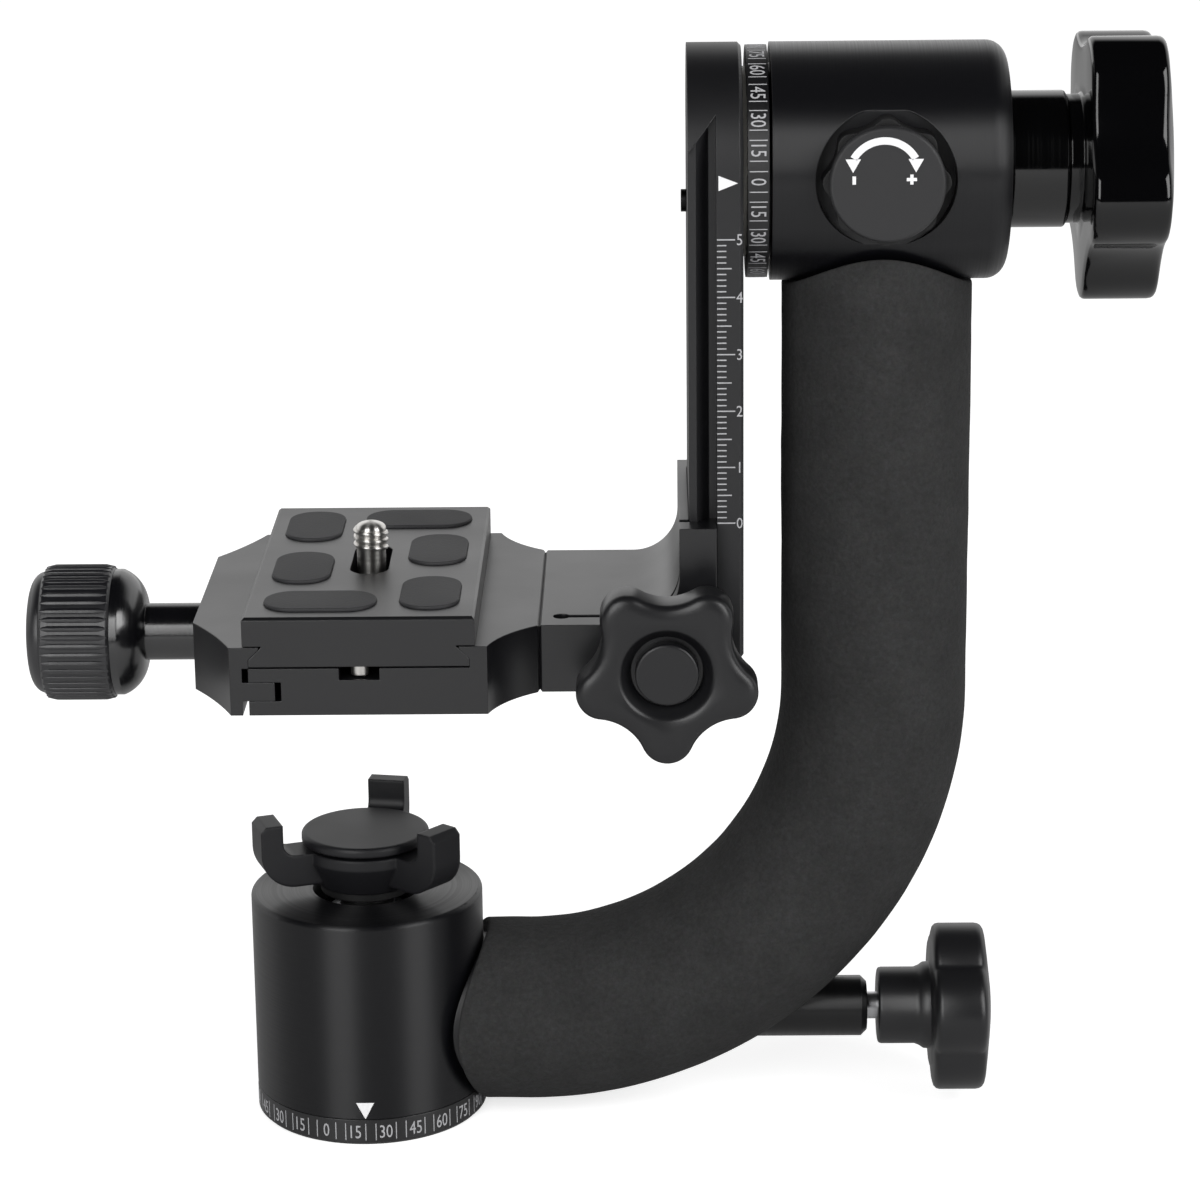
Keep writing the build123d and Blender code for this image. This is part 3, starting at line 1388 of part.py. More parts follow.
# ================================================================== export
pieces = {
    "base_plate": base_plate,
    "pan_scale_ring": pan_scale_ring,
    "tripod_bush": tripod_bush,
    "pan_spindle": pan_spindle,
    "spindle_screws": spindle_screws,
    "pan_inner_races": pan_inner_races,
    "pan_bearing_nut": pan_bearing_nut,
    "pan_housing": pan_housing,
    "outer_races": outer_races,
    "bearing_balls": bearing_balls,
    "pan_bearing_spacer": pan_bearing_spacer,
    "circlips": circlips,
    "tension_washer": tension_washer,
    "tension_nut": tension_nut,
    "tension_nut_cap": tension_nut_cap,
    "arm_tube": arm_tube,
    "foam_sleeve": foam_sleeve,
    "tube_screws": tube_screws,
    "pan_lock_sleeve": pan_lock_sleeve,
    "pan_lock_pad": pan_lock_pad,
    "pan_lock_screw": pan_lock_screw,
    "pan_lock_knob": pan_lock_knob,
    "pan_lock_cap": pan_lock_cap,
    "tilt_housing": tilt_housing,
    "tilt_scale_ring": tilt_scale_ring,
    "tilt_thrust_washer": tilt_thrust_washer,
    "tilt_bearing_spacer": tilt_bearing_spacer,
    "friction_pad": friction_pad,
    "friction_springs": friction_springs,
    "friction_screw": friction_screw,
    "friction_knob": friction_knob,
    "friction_cap": friction_cap,
    "swing_arm": swing_arm,
    "rail_stop_screws": rail_stop_screws,
    "tilt_shaft": tilt_shaft,
    "swing_arm_screws": swing_arm_screws,
    "tilt_inner_races": tilt_inner_races,
    "tilt_bearing_nut": tilt_bearing_nut,
    "tilt_lock_washer": tilt_lock_washer,
    "tilt_lock_collar": tilt_lock_collar,
    "tilt_lock_stud": tilt_lock_stud,
    "tilt_lock_knob": tilt_lock_knob,
    "tilt_lock_cap": tilt_lock_cap,
    "platform_bracket": platform_bracket,
    "bracket_screws": bracket_screws,
    "platform_lock_washer": platform_lock_washer,
    "platform_lock_screw": platform_lock_screw,
    "platform_lock_knob": platform_lock_knob,
    "platform_lock_cap": platform_lock_cap,
    "clamp_body": clamp_body,
    "clamp_jaw": clamp_jaw,
    "clamp_knob": clamp_knob,
    "clamp_knob_collar": clamp_knob_collar,
    "clamp_screw": clamp_screw,
    "qr_plate": qr_plate,
    "plate_pads": plate_pads,
    "plate_guard_screws": plate_guard_screws,
    "camera_screw": camera_screw,
    "camera_screw_clip": camera_screw_clip,
}
os.makedirs("parts", exist_ok=True)
for name, piece in pieces.items():
    piece.part.label = name
    export_step(piece.part, f"parts/{name}.step")
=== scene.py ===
"""Finishes, marks, moulded knobs, foam sleeve and studio for the gimbal tripod head."""

import logging
import math
from collections.abc import Callable, Sequence
from dataclasses import dataclass
from enum import Enum

import bmesh
import bpy
from bpy.types import Material, Mesh, Node, NodeSocket, NodeTree, Object
from mathutils import Matrix, Vector, noise


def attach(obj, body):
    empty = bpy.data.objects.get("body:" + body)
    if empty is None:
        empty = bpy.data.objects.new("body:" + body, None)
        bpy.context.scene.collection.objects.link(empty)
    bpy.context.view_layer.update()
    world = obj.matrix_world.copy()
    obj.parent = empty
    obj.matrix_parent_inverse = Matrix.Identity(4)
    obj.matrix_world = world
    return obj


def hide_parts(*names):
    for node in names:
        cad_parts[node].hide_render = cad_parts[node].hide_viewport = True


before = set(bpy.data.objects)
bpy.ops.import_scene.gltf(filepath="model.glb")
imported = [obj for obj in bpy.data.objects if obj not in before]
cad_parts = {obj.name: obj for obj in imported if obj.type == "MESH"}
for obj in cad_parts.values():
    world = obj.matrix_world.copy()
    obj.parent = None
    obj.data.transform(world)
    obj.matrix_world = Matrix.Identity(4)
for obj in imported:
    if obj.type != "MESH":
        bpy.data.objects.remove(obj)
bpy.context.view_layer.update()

MM = 0.001
TILT_AXIS = 176.9       # height of the tilt axis
PAN_LOCK_AXIS = 18.2    # height of the pan lock and of the arm tube's lower leg
CLAMP_AXIS = 91.85      # height of the clamp screw
PLATE_SCREW_X = 2.6     # where the camera screw stands at rest
INK_HEIGHT = 0.03       # how far print stands in and out of its surface
MERGE_DISTANCE = 0.002  # points of a made mesh that are closer than this are merged
DEEPEST_INSET = 0.97    # share of a lobe's arc that an inset may take
NOISE_LOW = 0.3         # a noise's values mostly lie between these two
NOISE_HIGH = 0.7
WHITE = (1.0, 1.0, 1.0, 1.0)
log = logging.getLogger("gimbal_head")

Flat = tuple[float, float]
Point = tuple[float, float, float]
Place = Callable[[float, float, float], Vector]
Bar = tuple[float, float, float, float]
Surface = tuple[list[Vector], list[tuple[int, ...]]]
Source = Node | NodeSocket


# ------------------------------------------------------------------ meshes
def add_object(name: str, data: bpy.types.ID) -> Object:
    """Link a new object to the scene.

    Args:
        name: its name.
        data: its mesh, curve, lamp or camera.

    Returns:
        The object.
    """
    made = bpy.data.objects.new(name, data)
    bpy.context.scene.collection.objects.link(made)
    return made


def make_piece(name: str, surface: Surface, material: Material, smooth_degrees: float = 38.0) -> Object:
    """Make a closed mesh object with outward faces and its finish.

    Args:
        name: name of the object.
        surface: its points, in millimetres in the head's frame, and its faces.
        material: finish of the whole piece.
        smooth_degrees: edges sharper than this stay sharp.

    Returns:
        The object, with its place in its mesh.
    """
    points, faces = surface
    mesh = bpy.data.meshes.new(name)
    mesh.from_pydata([tuple(point * MM) for point in points], [], faces)
    shape = bmesh.new()
    shape.from_mesh(mesh)
    bmesh.ops.remove_doubles(shape, verts=shape.verts, dist=MERGE_DISTANCE * MM)
    bmesh.ops.dissolve_degenerate(shape, edges=shape.edges, dist=MERGE_DISTANCE * MM)
    bmesh.ops.recalc_face_normals(shape, faces=shape.faces)
    shape.to_mesh(mesh)
    shape.free()
    return link_piece(name, mesh, material, smooth_degrees)


def link_piece(name: str, mesh: Mesh, material: Material, smooth_degrees: float = 38.0) -> Object:
    """Link a finished mesh as an object with one finish and smooth shading.

    Args:
        name: name of the object.
        mesh: its mesh, in metres.
        material: its finish.
        smooth_degrees: edges sharper than this stay sharp.

    Returns:
        The object.
    """
    mesh.materials.clear()
    mesh.materials.append(material)
    mesh.shade_smooth()
    mesh.set_sharp_from_angle(angle=math.radians(smooth_degrees))
    return add_object(name, mesh)


def skin(rings: Sequence[Sequence[Vector]], rings_joined: bool = False) -> Surface:
    """Stretch quads over rings of points, and close the ends with fans of triangles.

    Args:
        rings: closed rings, each with the same number of points.
        rings_joined: join the last ring to the first instead, as on a hollow tube's skin.

    Returns:
        Points and faces.
    """
    count = len(rings[0])
    points = [point for ring in rings for point in ring]
    faces: list[tuple[int, ...]] = []
    for row in range(len(rings) if rings_joined else len(rings) - 1):
        low, high = row * count, (row + 1) % len(rings) * count
        for i in range(count):
            after = (i + 1) % count
            faces.append((low + i, low + after, high + after, high + i))
    for start in () if rings_joined else (0, (len(rings) - 1) * count):
        points.append(sum(points[start:start + count], Vector()) / count)
        faces += [(start + i, start + (i + 1) % count, len(points) - 1) for i in range(count)]
    return points, faces


def ribbon(first: Sequence[Flat], second: Sequence[Flat], place: Place) -> Surface:
    """Print a slab of ink between two edges that run side by side.

    Args:
        first: flat points of one edge.
        second: flat points of the other edge, as many as the first has.
        place: puts a flat point and a height on the surface that carries the ink.

    Returns:
        Points and faces.
    """
    low, high = -INK_HEIGHT, INK_HEIGHT
    return skin([[place(*a, low), place(*b, low), place(*b, high), place(*a, high)]
                 for a, b in zip(first, second)])


def join_parts(parts: Sequence[Surface]) -> Surface:
    """Put several surfaces together as one.

    Args:
        parts: points and faces of each part.

    Returns:
        Points and faces of them all.
    """
    points: list[Vector] = []
    faces: list[tuple[int, ...]] = []
    for some_points, some_faces in parts:
        start = len(points)
        points += some_points
        faces += [tuple(start + i for i in face) for face in some_faces]
    return points, faces


def numeral(text: str, height: float, width_factor: float, place: Place) -> Surface:
    """Print one number.

    Args:
        text: the digits.
        height: height of a digit.
        width_factor: how wide the digits are drawn against the plain font.
        place: puts a flat point, from the number's middle, and a height on the printed surface.

    Returns:
        Points and faces.
    """
    curve = bpy.data.curves.new("numeral_" + text, "FONT")
    curve.body = text
    curve.resolution_u = 3
    curve.extrude = 1.0
    holder = add_object("numeral_" + text, curve)
    mesh = bpy.data.meshes.new_from_object(holder)
    xs, ys = ([v.co[axis] for v in mesh.vertices] for axis in (0, 1))
    scale = height / (max(ys) - min(ys))
    middle_x, middle_y = (max(xs) + min(xs)) / 2, (max(ys) + min(ys)) / 2
    points = [place((v.co.x - middle_x) * scale * width_factor, (v.co.y - middle_y) * scale,
                    v.co.z * INK_HEIGHT) for v in mesh.vertices]
    faces = [tuple(polygon.vertices) for polygon in mesh.polygons]
    bpy.data.objects.remove(holder)
    bpy.data.curves.remove(curve)
    bpy.data.meshes.remove(mesh)
    return points, faces


# ------------------------------------------------------------------ node trees
def linear(colour: str) -> tuple[float, float, float, float]:
    """Turn an sRGB hex colour into the linear RGBA that the shaders take.

    Args:
        colour: six hex digits, such as "1b1b1d".

    Returns:
        Linear red, green, blue and an alpha of 1.
    """
    parts = [int(colour[at:at + 2], 16) / 255 for at in (0, 2, 4)]
    red, green, blue = (c / 12.92 if c <= 0.04045 else ((c + 0.055) / 1.055) ** 2.4 for c in parts)
    return red, green, blue, 1.0


class Graph:
    """Builds a node tree."""

    def __init__(self, tree: NodeTree) -> None:
        """Start an empty tree."""
        self.tree = tree
        tree.nodes.clear()

    def add(self, kind: str, settings: dict | None = None, inputs: dict | None = None) -> Node:
        """Add a node with its settings and links.

        Args:
            kind: the node's type name.
            settings: property names and values.
            inputs: input names or numbers, each with a plain value, a socket to link from, or a
                node whose first output is linked.

        Returns:
            The node.
        """
        node = self.tree.nodes.new(kind)
        for name, value in (settings or {}).items():
            setattr(node, name, value)
        for name, value in (inputs or {}).items():
            source = value.outputs[0] if isinstance(value, Node) else value
            if isinstance(source, NodeSocket):
                self.tree.links.new(source, node.inputs[name])
            else:
                node.inputs[name].default_value = source
        return node


class Coat(Graph):
    """The shader nodes of one finish."""

    def __init__(self, material: Material, values: dict) -> None:
        """Start with the shader.

        Args:
            material: the material.
            values: the shader's input names and values.
        """
        material.use_nodes = True
        super().__init__(material.node_tree)
        self.shader = self.add("ShaderNodeBsdfPrincipled", inputs=values)
        self.add("ShaderNodeOutputMaterial", inputs={"Surface": self.shader})
        self.where = self.add("ShaderNodeTexCoord").outputs["Object"]

    def feed(self, name: str, source: NodeSocket) -> None:
        """Link a socket to one of the shader's inputs."""
        self.tree.links.new(source, self.shader.inputs[name])


# ------------------------------------------------------------------ finishes
@dataclass(frozen=True)
class Finish:
    """What every surface has: a colour, a roughness and an edge that is never quite sharp."""

    name: str
    colour: str
    roughness: float
    ior: float = 1.5
    metallic: float = 0.0
    edge_mm: float = 0.25
    grain_mm: float = 0.4
    grain_depth_mm: float = 0.006
    patch_mm: float = 22.0
    gloss_change: float = 0.03

    def material(self) -> Material:
        """Build the finish, or fetch it if it was built before.

        Returns:
            The material.
        """
        found = bpy.data.materials.get(self.name)
        if found is not None:
            return found
        material = bpy.data.materials.new(self.name)
        self.detail(Coat(material, {"Base Color": linear(self.colour), "Roughness": self.roughness,
                                    "Metallic": self.metallic, "IOR": self.ior}))
        return material

    def dress(self, *nodes: str) -> None:
        """Give CAD nodes this finish.

        Args:
            nodes: names of the nodes.
        """
        for name in nodes:
            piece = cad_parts[name]
            if not piece.data.materials:
                piece.data.materials.append(self.material())
            for slot in piece.material_slots:
                slot.material = self.material()

    def detail(self, coat: Coat) -> None:
        """Add the surface's own texture: here a grain, and patches a little smoother or rougher.

        Args:
            coat: the finish's nodes.
        """
        patches = coat.add("ShaderNodeTexNoise", inputs={
            "Vector": coat.where, "Scale": 1 / (self.patch_mm * MM), "Detail": 3.0})
        self.vary_roughness(coat, patches)
        grain = coat.add("ShaderNodeTexNoise", inputs={
            "Vector": coat.where, "Scale": 1 / (self.grain_mm * MM), "Detail": 2.0, "Roughness": 0.6})
        self.raise_grain(coat, grain)

    def raise_grain(self, coat: Coat, pattern: Node) -> None:
        """Raise a pattern by the grain's depth, and round the edges.

        Args:
            coat: the finish's nodes.
            pattern: the pattern.
        """
        rounded = coat.add("ShaderNodeBevel", {"samples": 6}, {"Radius": self.edge_mm * MM})
        raised = coat.add("ShaderNodeBump", inputs={
            "Height": pattern, "Distance": self.grain_depth_mm * MM, "Strength": 1.0,
            "Normal": rounded})
        coat.feed("Normal", raised.outputs[0])

    def vary_roughness(self, coat: Coat, pattern: Node) -> None:
        """Let a pattern make the surface a little smoother or rougher.

        Args:
            coat: the finish's nodes.
            pattern: the pattern.
        """
        varied = coat.add("ShaderNodeMapRange", inputs={
            "Value": pattern, "From Min": NOISE_LOW, "From Max": NOISE_HIGH,
            "To Min": self.roughness - self.gloss_change,
            "To Max": self.roughness + self.gloss_change})
        coat.feed("Roughness", varied.outputs[0])


@dataclass(frozen=True)
class BlastedAnodising(Finish):
    """Aluminium, bead blasted, then anodised black: an even grain and wide soft highlights.

    The grit leaves marks about 0.1 mm across. They are drawn 0.4 mm across so that they show.
    """


@dataclass(frozen=True)
class TurnedMetal(Finish):
    """Metal, turned on a lathe: fine rings round the turning axis. Aluminium is then anodised.

    The tool's feed is about 0.08 mm a turn. The rings are drawn 0.3 mm apart so that they show.
    Light spreads across the rings and hardly along them, so a lamp shows as a long band.
    """

    axis: Point = (0.0, 0.0, 1.0)
    centre_mm: Point = (0.0, 0.0, 0.0)
    feed_mm: float = 0.3
    stretch: float = 0.6
    gloss_change: float = 0.04

    def detail(self, coat: Coat) -> None:
        """Add rings that depend on the distance from the axis and along it, and their sheen.

        Args:
            coat: the finish's nodes.
        """
        middle = tuple(-c * MM for c in self.centre_mm)
        moved = coat.add("ShaderNodeMapping", inputs={"Vector": coat.where, "Location": middle})
        along = coat.add("ShaderNodeVectorMath", {"operation": "DOT_PRODUCT"},
                         {0: moved, 1: self.axis})
        across = coat.add("ShaderNodeVectorMath", {"operation": "CROSS_PRODUCT"},
                          {0: moved, 1: self.axis})
        radius = coat.add("ShaderNodeVectorMath", {"operation": "LENGTH"}, {0: across})
        feed = coat.add("ShaderNodeCombineXYZ", inputs={
            "X": radius.outputs["Value"], "Y": along.outputs["Value"]})
        rings = coat.add("ShaderNodeTexNoise", {"noise_dimensions": "2D"}, {
            "Vector": feed, "Scale": 1 / (self.feed_mm * MM), "Detail": 1.0})
        self.vary_roughness(coat, rings)
        self.raise_grain(coat, rings)
        groove = coat.add("ShaderNodeVectorTransform", {
            "vector_type": "VECTOR", "convert_from": "OBJECT", "convert_to": "WORLD"}, {0: across})
        outward = coat.add("ShaderNodeNewGeometry").outputs["Normal"]
        over_rings = coat.add("ShaderNodeVectorMath", {"operation": "CROSS_PRODUCT"},
                              {0: groove, 1: outward})
        coat.feed("Tangent", over_rings.outputs[0])
        coat.shader.inputs["Anisotropic"].default_value = self.stretch


@dataclass(frozen=True)
class MouldedRubber(Finish):
    """Rubber, moulded against an etched steel: a leathery grain that takes the gloss away."""


@dataclass(frozen=True)
class FoamSkin(Finish):
    """Closed-cell foam rubber, ground to size: a matt skin, pitted with opened cells.

    The cells are about 0.3 mm across. They are drawn 0.9 mm across so that they show.
    """

    dark_colour: str = "1d1d1e"
    cloud_mm: float = 9.0
    fuzz_factor: float = 1.1
    pit_depth_mm: float = 0.10
    fuzz_depth_mm: float = 0.16
    speck_gain: float = 2.4
    speck_saturation: float = 0.12

    def detail(self, coat: Coat) -> None:
        """Add pits, and the faint cloudiness that the grinding leaves.

        Args:
            coat: the finish's nodes.
        """
        cells = coat.add("ShaderNodeTexVoronoi", inputs={
            "Vector": coat.where, "Scale": 1 / (self.grain_mm * MM)})
        fuzz = coat.add("ShaderNodeTexNoise", inputs={
            "Vector": coat.where, "Scale": 1 / (self.fuzz_factor * self.grain_mm * MM),
            "Detail": 4.0, "Roughness": 0.75})
        clouds = coat.add("ShaderNodeTexNoise", inputs={
            "Vector": coat.where, "Scale": 1 / (self.cloud_mm * MM), "Detail": 4.0})
        shade = coat.add("ShaderNodeMix", {"data_type": "RGBA"}, {
            0: clouds, 6: linear(self.dark_colour), 7: linear(self.colour)})
        specks = coat.add("ShaderNodeMix", {"data_type": "RGBA", "blend_type": "MULTIPLY"}, {
            0: 1.0, 6: shade.outputs[2], 7: fuzz.outputs["Color"]})
        grey = coat.add("ShaderNodeHueSaturation", inputs={
            "Saturation": self.speck_saturation, "Value": self.speck_gain,
            "Color": specks.outputs[2]})
        coat.feed("Base Color", grey.outputs[0])
        pits = coat.add("ShaderNodeBump", inputs={
            "Height": cells.outputs["Distance"], "Distance": self.pit_depth_mm * MM, "Strength": 0.8})
        surface = coat.add("ShaderNodeBump", inputs={
            "Height": fuzz, "Distance": self.fuzz_depth_mm * MM, "Strength": 0.9, "Normal": pits})
        coat.feed("Normal", surface.outputs[0])


@dataclass(frozen=True)
class MouldedPlastic(Finish):
    """Nylon or ABS, injection moulded: the mould's polish, with faint flow marks."""


@dataclass(frozen=True)
class PlainMetal(Finish):
    """Steel or brass, turned and polished: a mirror broken by faint scratches."""

    metallic: float = 1.0


@dataclass(frozen=True)
class PrintedInk(Finish):
    """Screen-printed ink: flat, and thinner in places where the grain under it shows."""

    thin_colour: str = "9a9a9c"
    patch_mm: float = 0.8

    def detail(self, coat: Coat) -> None:
        """Thin the ink in places.

        Args:
            coat: the finish's nodes.
        """
        cover = coat.add("ShaderNodeTexNoise", inputs={
            "Vector": coat.where, "Scale": 1 / (self.patch_mm * MM), "Detail": 2.0})
        ink = coat.add("ShaderNodeMix", {"data_type": "RGBA"}, {
            0: cover, 6: linear(self.thin_colour), 7: linear(self.colour)})
        coat.feed("Base Color", ink.outputs[2])


ALONG_X = (1.0, 0.0, 0.0)
ON_TILT_AXIS = (0.0, 0.0, TILT_AXIS)
ON_CLAMP_AXIS = (0.0, 0.0, CLAMP_AXIS)

# Blasting leaves an even satin grain, and anodising gives it a thin skin with soft highlights.
BODY = BlastedAnodising("bead_blasted_anodised_aluminium", "0e0e11", 0.44, ior=1.6)
BODY_FINE = BlastedAnodising("fine_blasted_anodised_aluminium", "0b0b0e", 0.34, ior=1.66, edge_mm=0.3)
CLAW = BlastedAnodising("bead_blasted_claw_aluminium", "141417", 0.46, ior=1.45, edge_mm=0.7)
DRAG_CAP = BlastedAnodising(
    "blasted_friction_cap", "1b1b1d", 0.5, ior=1.6, edge_mm=0.5, grain_mm=0.7, grain_depth_mm=0.012)

# Turning leaves fine rings, which stretch a lamp's light to a band across them. A polished piece
# shows the band narrow and bright.
PAN_BODY = TurnedMetal("turned_anodised_pan_housing", "0b0b0e", 0.42, edge_mm=0.3, stretch=0.9)
TILT_BODY = TurnedMetal(
    "turned_anodised_tilt_housing", "0b0b0e", 0.42, edge_mm=0.3, stretch=0.9, axis=ALONG_X,
    centre_mm=ON_TILT_AXIS)
PAN_TURNED = TurnedMetal("turned_anodised_pan_ring", "141416", 0.42, ior=1.6)
TILT_TURNED = TurnedMetal(
    "turned_anodised_tilt_ring", "121214", 0.42, ior=1.6, axis=ALONG_X, centre_mm=ON_TILT_AXIS)
COLLAR = TurnedMetal(
    "polished_anodised_collar", "040405", 0.12, ior=1.6, axis=ALONG_X, centre_mm=ON_TILT_AXIS,
    grain_depth_mm=0.001)
# The lock sleeve is the same turned anodising, with a darker colour than the housing's: painted shade for
# the shadow that falls on it.
LOCK_SLEEVE_PAINTED_SHADE = TurnedMetal(
    "turned_anodised_lock_sleeve_painted_shade", "060607", 0.36, axis=ALONG_X, centre_mm=(0, 0, PAN_LOCK_AXIS),
    stretch=0.85)
GRIP = TurnedMetal(
    "turned_anodised_clamp_knob", "131317", 0.38, ior=1.75, axis=ALONG_X, centre_mm=ON_CLAMP_AXIS)
SHAFT = TurnedMetal(
    "polished_anodised_clamp_shaft", "0a0a0d", 0.22, ior=1.85, axis=ALONG_X,
    centre_mm=ON_CLAMP_AXIS, grain_depth_mm=0.001)
# Nickel on turned steel shows bright and dark streaks side by side.
SCREW_STEEL = TurnedMetal(
    "turned_nickel_plated_screw", "dad8d4", 0.34, metallic=1.0,
    centre_mm=(PLATE_SCREW_X, 0, 0), stretch=0.85, grain_depth_mm=0.002)

# Bare and plated metals mirror the room. Oxide blackens steel, and brass is yellow.
STEEL = PlainMetal("polished_stainless_steel", "c4c4c6", 0.30, grain_depth_mm=0.001)
CHROME = PlainMetal("bright_chrome_plate", "dad8d4", 0.32, grain_depth_mm=0.0005)
BLACK_STEEL = PlainMetal("black_oxide_steel", "2a2a2b", 0.38)
BRASS = PlainMetal("turned_brass", "b08d4f", 0.30)

# A polished mould gives a wet gloss, a plain one a satin sheen, and nylon for washers is matt.
GLOSS_PLASTIC = MouldedPlastic(
    "polished_moulded_plastic", "050506", 0.08, grain_mm=2.5, grain_depth_mm=0.004, edge_mm=0.3)
SATIN_PLASTIC = MouldedPlastic(
    "satin_moulded_nylon", "151517", 0.36, ior=1.52, grain_mm=0.5, edge_mm=0.3)
MATT_PLASTIC = MouldedPlastic("matt_moulded_nylon", "070708", 0.55)
ACETAL = MouldedPlastic("white_acetal", "c9c7bf", 0.40)

# Rubber has a leathery grain and hardly any gloss. Ground foam has none, and its opened cells
# look grey with dust. Ink on black metal is a flat white, and grey where its strokes are thin.
PAD = MouldedRubber("grained_rubber_inlay", "2e2e30", 0.62, grain_mm=0.5, grain_depth_mm=0.05)
FOAM = FoamSkin("closed_cell_foam_rubber", "2c2c2d", 0.95, ior=1.35, grain_mm=0.9)
INK = PrintedInk("white_screen_ink", "f6f6f7", 0.6, thin_colour="dededf")
FINE_INK = PrintedInk("fine_white_screen_ink", "b4b4b7", 0.6)


# ------------------------------------------------------------------ shapes by rule
class Facing(Enum):
    """Which way a turned or moulded piece's outer end faces."""

    SIDE = "X"
    FRONT = "-Y"
    UP = "+Z"


@dataclass(frozen=True)
class Seat:
    """Where a piece's axis is, and which way it faces. Distances along it are CAD coordinates."""

    facing: Facing
    centre: Flat

    def place(self, across: float, up: float, along: float) -> Vector:
        """Put a point of the piece in the head's frame.

        Args:
            across: first distance from the axis, along Y, X or X.
            up: second distance from the axis, along Z, Z or Y.
            along: place on the axis, as the head's own coordinate.

        Returns:
            The point, in millimetres.
        """
        first, second = self.centre[0] + across, self.centre[1] + up
        if self.facing is Facing.SIDE:
            return Vector((along, first, second))
        if self.facing is Facing.FRONT:
            return Vector((first, along, second))
        return Vector((first, second, along))


@dataclass(frozen=True)
class LobedOutline:
    """Outline of a hand knob: round lobes joined by hollows that run smoothly into them."""

    tip_radius: float
    valley_radius: float
    tip_arc: float
    first_angle: float
    lobes: int = 5
    steps: int = 16

    def points(self, inset: float) -> list[Flat]:
        """Walk round the outline.

        Args:
            inset: distance inside the outline.

        Returns:
            Flat points, as many for any inset.
        """
        tip_centre = self.tip_radius - self.tip_arc
        half_step = math.pi / self.lobes
        reach = tip_centre * math.cos(half_step)
        spread = tip_centre**2 + self.valley_radius**2 - 2 * self.valley_radius * reach
        spread -= self.tip_arc**2
        valley_arc = spread / (2 * (self.tip_arc + reach - self.valley_radius))
        hollow = self.valley_radius + valley_arc
        swing = math.atan2(hollow * math.sin(half_step), hollow * math.cos(half_step) - tip_centre)
        opening = half_step - swing
        found = []
        for half in range(2 * self.lobes):
            out_angle = math.radians(self.first_angle) + half_step * half
            on_tip = half % 2 == 0
            out, radius = (tip_centre, self.tip_arc - inset) if on_tip else (hollow, valley_arc + inset)
            for i in range(self.steps):
                share = 2 * (i + 0.5) / self.steps - 1
                angle = out_angle + (swing * share if on_tip else math.pi + opening * share)
                found.append((out * math.cos(out_angle) + radius * math.cos(angle),
                              out * math.sin(out_angle) + radius * math.sin(angle)))
        return found


@dataclass(frozen=True)
class Station:
    """One outline of a moulded knob: blend 0 is the knob's outline, blend 1 the station's circle."""

    along: float
    inset: float = 0.0
    circle: float = 0.0
    blend: float = 0.0


def circles(start: float, *rows: Flat) -> list[Station]:
    """Return round stations, each given as (distance from the start, radius)."""
    return [Station(start + rise, circle=radius, blend=1.0) for rise, radius in rows]


def outlines(start: float, *rows: Flat) -> list[Station]:
    """Return lobed stations, each given as (distance from the start, inset)."""
    return [Station(start + rise, inset=inset) for rise, inset in rows]


def blends(start: float, inset: float, *rows: Point) -> list[Station]:
    """Return stations part way to a circle, given as (distance from the start, radius, blend)."""
    return [Station(start + rise, inset, radius, blend) for rise, radius, blend in rows]


def cap_seam(face: float, radius: float) -> list[Station]:
    """Sink the seam round a knob's pressed-in cap, from the knob's face to the cap's own edge."""
    walls = ((0.0, 0.3), (-0.45, 0.26), (-0.45, 0.04), (0.02, 0.0), (0.09, -0.25))
    return circles(face, *[(rise, radius + out) for rise, out in walls])


def mould(outline: LobedOutline, seat: Seat, stations: Sequence[Station]) -> Surface:
    """Loft a knob through its stations.

    Args:
        outline: the knob's outline.
        seat: its axis.
        stations: from one end to the other.

    Returns:
        Points and faces of the closed knob.
    """
    rings = []
    for station in stations:
        ring = []
        for u, v in outline.points(min(station.inset, outline.tip_arc * DEEPEST_INSET)):
            angle = math.atan2(v, u)
            round_u, round_v = station.circle * math.cos(angle), station.circle * math.sin(angle)
            ring.append(seat.place(u + (round_u - u) * station.blend,
                                   v + (round_v - v) * station.blend, station.along))
        rings.append(ring)
    return skin(rings)


def turn(profile: Sequence[Flat], seat: Seat, count: int = 96) -> Surface:
    """Turn a profile round an axis.

    Args:
        profile: (along, radius) from one end to the other.
        seat: the axis.
        count: points round the axis.

    Returns:
        Points and faces of the closed piece.
    """
    angles = [2 * math.pi * i / count for i in range(count)]
    return skin([[seat.place(radius * math.cos(a), radius * math.sin(a), along) for a in angles]
                 for along, radius in profile])


def quarter(start: Flat, end: Flat, steps: int = 6) -> list[Flat]:
    """Walk along a quarter of an ellipse that sets off along the axis, for a rounded end.

    Args:
        start: (along, radius) where the corner starts.
        end: (along, radius) where it ends.
        steps: number of chords.

    Returns:
        The points, both ends included.
    """
    angles = [math.pi / 2 * i / steps for i in range(steps + 1)]
    return [(start[0] + (end[0] - start[0]) * math.sin(a),
             start[1] + (end[1] - start[1]) * (1 - math.cos(a))) for a in angles]


